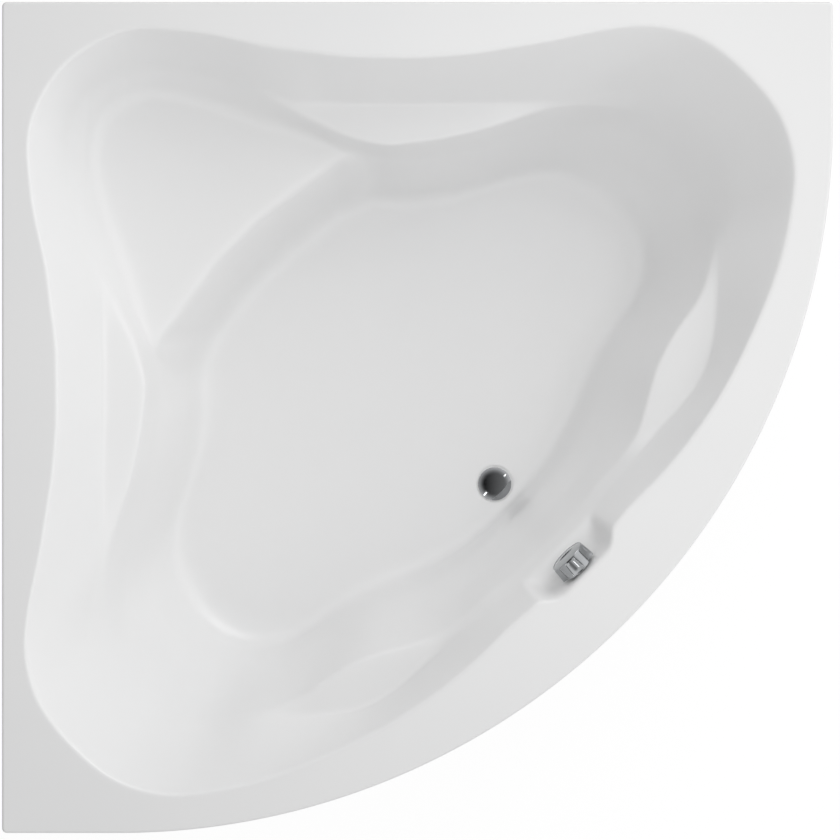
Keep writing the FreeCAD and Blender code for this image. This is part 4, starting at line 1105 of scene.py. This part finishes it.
dome_radius = (CAP_RADIUS ** 2 + CAP_CROWN ** 2) / (2 * CAP_CROWN)
dome_reach = math.degrees(math.asin(CAP_RADIUS / dome_radius))
cap_rows = [(0.0, -HUB_DEEP), (HUB_RADIUS - 0.0005, -HUB_DEEP), (HUB_RADIUS, -HUB_DEEP + 0.0005),
            (HUB_RADIUS, 0.0)]
cap_rows += arc_rows(CAP_RADIUS - 0.0005, 0.0005, 0.0005, -90, 0, 4)
dome_middle = CAP_EDGE + CAP_CROWN - dome_radius
dome = arc_rows(0.0, dome_middle, dome_radius, 90 - dome_reach, 90, DOME_ROWS)
cap_rows += [(radius * DOME_INSIDE, height) for radius, height in dome]
plug = turned("domed_plug_cap", cap_rows, WASTE + UP * CAP_LIFT, steps=128)
fitted(plug, chrome, "plug", "chrome", "plug_cap")
dress(zinc, "plug_stem", "lift_pin", "knob_spindle")


# -------------------- overflow knob
# A chromed, die-cast grip, a little wider at its back, with six finger scallops that
# stop short of its face. It turns on a spindle in the recess.

KNOB_GAP = 0.0045
KNOB_BACK = 0.0375
KNOB_FRONT = 0.0345
KNOB_THICK = 0.031
KNOB_BAND = 0.0035
KNOB_ROUND = 0.0012
KNOB_CHAMFER = 0.0003
KNOB_BACK_FLAT = 0.030
KNOB_ROWS = (0.008, 0.016, 0.022)
KNOB_FLUTES = 6
FLUTE_RADIUS = 0.020
FLUTE_DEEP = 0.005
FLUTE_TURN = math.radians(-6.0)
FLUTE_SOFT = 0.0009  # softness of the flutes' edges
CROWN_RISE = 0.002
CROWN_INSET = 0.002  # the crown starts this far inside the face's edge
CROWN_RADIUS = 0.200


def knob_body(height):
    return KNOB_BACK + (KNOB_FRONT - KNOB_BACK) * height / KNOB_THICK


def fluted(height, share=1.0):
    """Radius around the knob at a height, where share is how deep the flutes are."""
    away = (KNOB_BACK + KNOB_FRONT) / 2 + FLUTE_RADIUS - FLUTE_DEEP
    body = knob_body(height)
    turn = 2 * math.pi / KNOB_FLUTES

    def radius(angle):
        near = (angle - FLUTE_TURN + turn / 2) % turn - turn / 2
        across = away * math.sin(near)
        if abs(across) >= FLUTE_RADIUS:
            return body
        flute = away * math.cos(near) - math.sqrt(FLUTE_RADIUS ** 2 - across ** 2)
        blend = max(FLUTE_SOFT - abs(flute - body), 0.0) / FLUTE_SOFT
        lower = min(flute, body) - blend * blend * FLUTE_SOFT / 4
        return body + share * (lower - body)

    return radius


band = KNOB_THICK - KNOB_BAND
flutes_end = ((-0.0008, 0.9), (-0.0003, 0.55), (0.0, 0.12), (0.0004, 0.0))
knob_rows = [(0.0, 0.0), (KNOB_BACK_FLAT, 0.0),
             (lambda angle: fluted(0.0)(angle) - KNOB_ROUND, 0.0),
             (lambda angle: fluted(0.0)(angle) - KNOB_CHAMFER, KNOB_CHAMFER)]
knob_rows += [(fluted(height), height) for height in (KNOB_ROUND, *KNOB_ROWS, band - KNOB_ROUND)]
knob_rows += [(fluted(band + step, share), band + step) for step, share in flutes_end]
knob_rows += arc_rows(KNOB_FRONT - KNOB_ROUND, KNOB_THICK - KNOB_ROUND, KNOB_ROUND, 5, 90, 6)
crown_reach = math.degrees(math.asin((KNOB_FRONT - CROWN_INSET) / CROWN_RADIUS))
knob_rows += arc_rows(0.0, KNOB_THICK + CROWN_RISE - CROWN_RADIUS, CROWN_RADIUS,
                      90 - crown_reach, 90, 8)
knob_top = AXIS_OUT.cross(ACROSS) * -1
knob = turned("scalloped_knob", knob_rows, OVERFLOW + AXIS_OUT * KNOB_GAP, AXIS_OUT,
              knob_top.normalized(), steps=216, edge=38.0)
fitted(knob, chrome, "knob", "chrome", "overflow_knob")


# -------------------- hose and cable
# A ribbed polyethylene hose takes the overflow down to the waste body. Beside it runs
# the sheathed cable that lifts the plug.

HOSE_Z = 0.105
HOSE_RADIUS = 0.014
HOSE_VALLEY = 0.0124
HOSE_PITCH = 0.0058
HOSE_CUFF = 0.026  # smooth end, pushed over the port
HOSE_STEP = 0.00145
PORT_END = 0.062
BODY_BEHIND = 0.0294  # middle of the overflow body behind the recess face
HOSE_DROP = 0.041
body_p = RECESS_P + math.cos(RECESS_TILT) * BODY_BEHIND
body_z = RIM_Z - KNOB_DROP - math.sin(RECESS_TILT) * BODY_BEHIND
HOSE_ROUTE = ((body_p, body_z - HOSE_DROP), (body_p, 0.405), (body_p + 0.014, 0.300),
              (body_p + 0.002, 0.195), (body_p - 0.058, HOSE_Z), (WASTE_P + PORT_END, HOSE_Z))


def smooth_route(points):
    """Close, even points along the smooth line that a list of points steers."""
    curve = bpy.data.curves.new("route", "CURVE")
    curve.dimensions = "3D"
    curve.resolution_u = 24
    spline = curve.splines.new("NURBS")
    spline.points.add(len(points) - 1)
    for point, place in zip(spline.points, points):
        point.co = (*place, 1.0)
    spline.order_u = 3
    spline.use_endpoint_u = True
    carrier = added("route", curve)
    mesh = bpy.data.meshes.new_from_object(carrier)
    line = [vertex.co.copy() for vertex in mesh.vertices]
    bpy.data.objects.remove(carrier)
    even = [line[0]]
    for place in line[1:]:
        while (place - even[-1]).length > HOSE_STEP:
            even.append(even[-1] + (place - even[-1]).normalized() * HOSE_STEP)
    return even + [line[-1]]


hose_line = smooth_route([corner_point(p, WASTE_SIDE, z) for p, z in HOSE_ROUTE])
hose_length = sum((b - a).length for a, b in zip(hose_line, hose_line[1:]))


def hose_radius(length):
    """Ribs all along, between two smooth cuffs."""
    if min(length, hose_length - length) < HOSE_CUFF:
        return HOSE_RADIUS
    wave = 0.5 + 0.5 * math.cos(2 * math.pi * length / HOSE_PITCH)
    return HOSE_VALLEY + (HOSE_RADIUS - HOSE_VALLEY) * wave ** 0.7


grey_plastic = make_plastic("grey_polyethylene", (0.30, 0.31, 0.32), 0.42)
fitted(tube_around("ribbed_overflow_hose", hose_line, hose_radius, 28), grey_plastic, "tub",
       "hose_plastic", "overflow_hose")
dress(grey_plastic, "control_cable")


# -------------------- studio
# A white floor that the camera sees through from below, a pale surround that is darker
# straight overhead, two large soft lamps, and narrow strips that glint on the chrome.

FLOOR_SIZE = 240.0
FLOOR_GAP = 0.0005
FLOOR_GLOW = 0.90  # share of the floor's white that doesn't take shadow
FLOOR_MIRROR = 0.72  # the same in reflections
FLOOR_WHITE = 1.04
start_alone()
bpy.ops.mesh.primitive_grid_add(x_subdivisions=4, y_subdivisions=4, size=FLOOR_SIZE,
                                location=(0, 0, cad_low.z - FLOOR_GAP))
studio_floor = bpy.context.active_object
studio_floor.name = "studio_floor"
studio_floor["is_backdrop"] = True
ground = Finish("studio_white", Base_Color=grey(0.8), Roughness=0.9)
seen = ground.ray("Camera")
glossy = ground.ray("Glossy")
glow = ground.node("ShaderNodeEmission", {}, {"Color": grey(1.0), "Strength": FLOOR_WHITE})
lit = Signal(ground, ground.shader.outputs[0])
shown = ground.node("ShaderNodeMixShader", {},
                          {0: seen * FLOOR_GLOW + glossy * FLOOR_MIRROR, 1: lit, 2: glow})
below = ground.node("ShaderNodeNewGeometry", {}, {}, "Backfacing")
clear = ground.node("ShaderNodeBsdfTransparent", {}, {})
shown = ground.node("ShaderNodeMixShader", {}, {0: below * seen, 1: shown, 2: clear})
output = ground.tree.nodes["Material Output"]
ground.tree.links.new(shown.socket, output.inputs["Surface"])
studio_floor.data.materials.append(ground.material)

SKY_LEVEL = 0.60
SKY_LEAN = 0.30  # extra light from the right, less from the left
SKY_MIRROR = 0.90  # its level in reflections
SKY_DARK = 0.85  # how much darker its reflection is straight overhead
SKY_SPOT = (0.76, 0.93)  # from where to where, as height on a unit sphere


class Surround(Finish):
    """The world's shader under construction."""

    def __init__(self):
        self.world = bpy.data.worlds.new("studio")
        self.world.use_nodes = True
        self.tree = self.world.node_tree
        self.place = self.node("ShaderNodeTexCoord", {}, {}, "Generated")


surround = Surround()
bpy.context.scene.world = surround.world
east = surround.node("ShaderNodeSeparateXYZ", {}, {0: surround.place}, 0)
height = surround.node("ShaderNodeSeparateXYZ", {}, {0: surround.place}, 2)
camera_ray = surround.ray("Camera")
glossy_ray = surround.ray("Glossy")
mirrored = height.ramp(SKY_SPOT[0], SKY_SPOT[1], 1.0, 1.0 - SKY_DARK) * SKY_MIRROR
level = mirrored * glossy_ray + (1.0 - glossy_ray) * SKY_LEVEL + east * SKY_LEAN
shown = level * (1.0 - camera_ray) + camera_ray
backdrop = surround.tree.nodes["Background"]
surround.tree.links.new(shown.socket, backdrop.inputs["Color"])
backdrop.inputs["Strength"].default_value = 1.0


def soft_lamp(name, place, aim, size, power, mirrored=True):
    data = bpy.data.lights.new(name, "AREA")
    data.shape = "RECTANGLE"
    data.size = size[0]
    data.size_y = size[1]
    data.energy = power
    lamp = added(name, data)
    lamp.location = place
    lamp.visible_glossy = mirrored
    lamp.rotation_euler = (Vector(aim) - Vector(place)).to_track_quat("-Z", "Y").to_euler()


soft_lamp("key_lamp", (2.46, 4.26, 3.74), (0, 0, 0.3), (3.0, 3.0), 59.0)
soft_lamp("top_lamp", (0.5, 0.3, 2.2), (0.2, 0.1, 0.3), (1.6, 1.6), 9.0, mirrored=False)
soft_lamp("strip_lamp_left", (-1.10, -1.45, 3.1), (0.15, -0.2, 0.2), (0.16, 0.6), 1.3)
soft_lamp("strip_lamp_right", (1.5, 1.0, 3.1), (0.15, -0.2, 0.2), (0.10, 0.4), 0.6)
soft_lamp("strip_lamp_front", (-0.3, -2.6, 2.8), (0.28, -0.26, 0.55), (0.12, 0.6), 1.1)

LENS = 1500.0
SENSOR = 36.0
PHOTO = 840.0
BATH_PIXELS = 831.0
CENTRE_PIXELS = (417.5, 417.5)
camera_data = bpy.data.cameras.new("camera")
camera_data.lens = LENS
camera_data.sensor_width = SENSOR
camera_data.clip_end = 300.0
camera = added("camera", camera_data)
bpy.context.scene.camera = camera
view_width = SIDE * PHOTO / BATH_PIXELS
camera.location = (view_width * (PHOTO / 2 - CENTRE_PIXELS[0]) / PHOTO,
                   -view_width * (PHOTO / 2 - CENTRE_PIXELS[1]) / PHOTO,
                   RIM_Z + view_width * LENS / SENSOR)

scene = bpy.context.scene
scene.view_settings.view_transform = "Standard"

low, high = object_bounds()
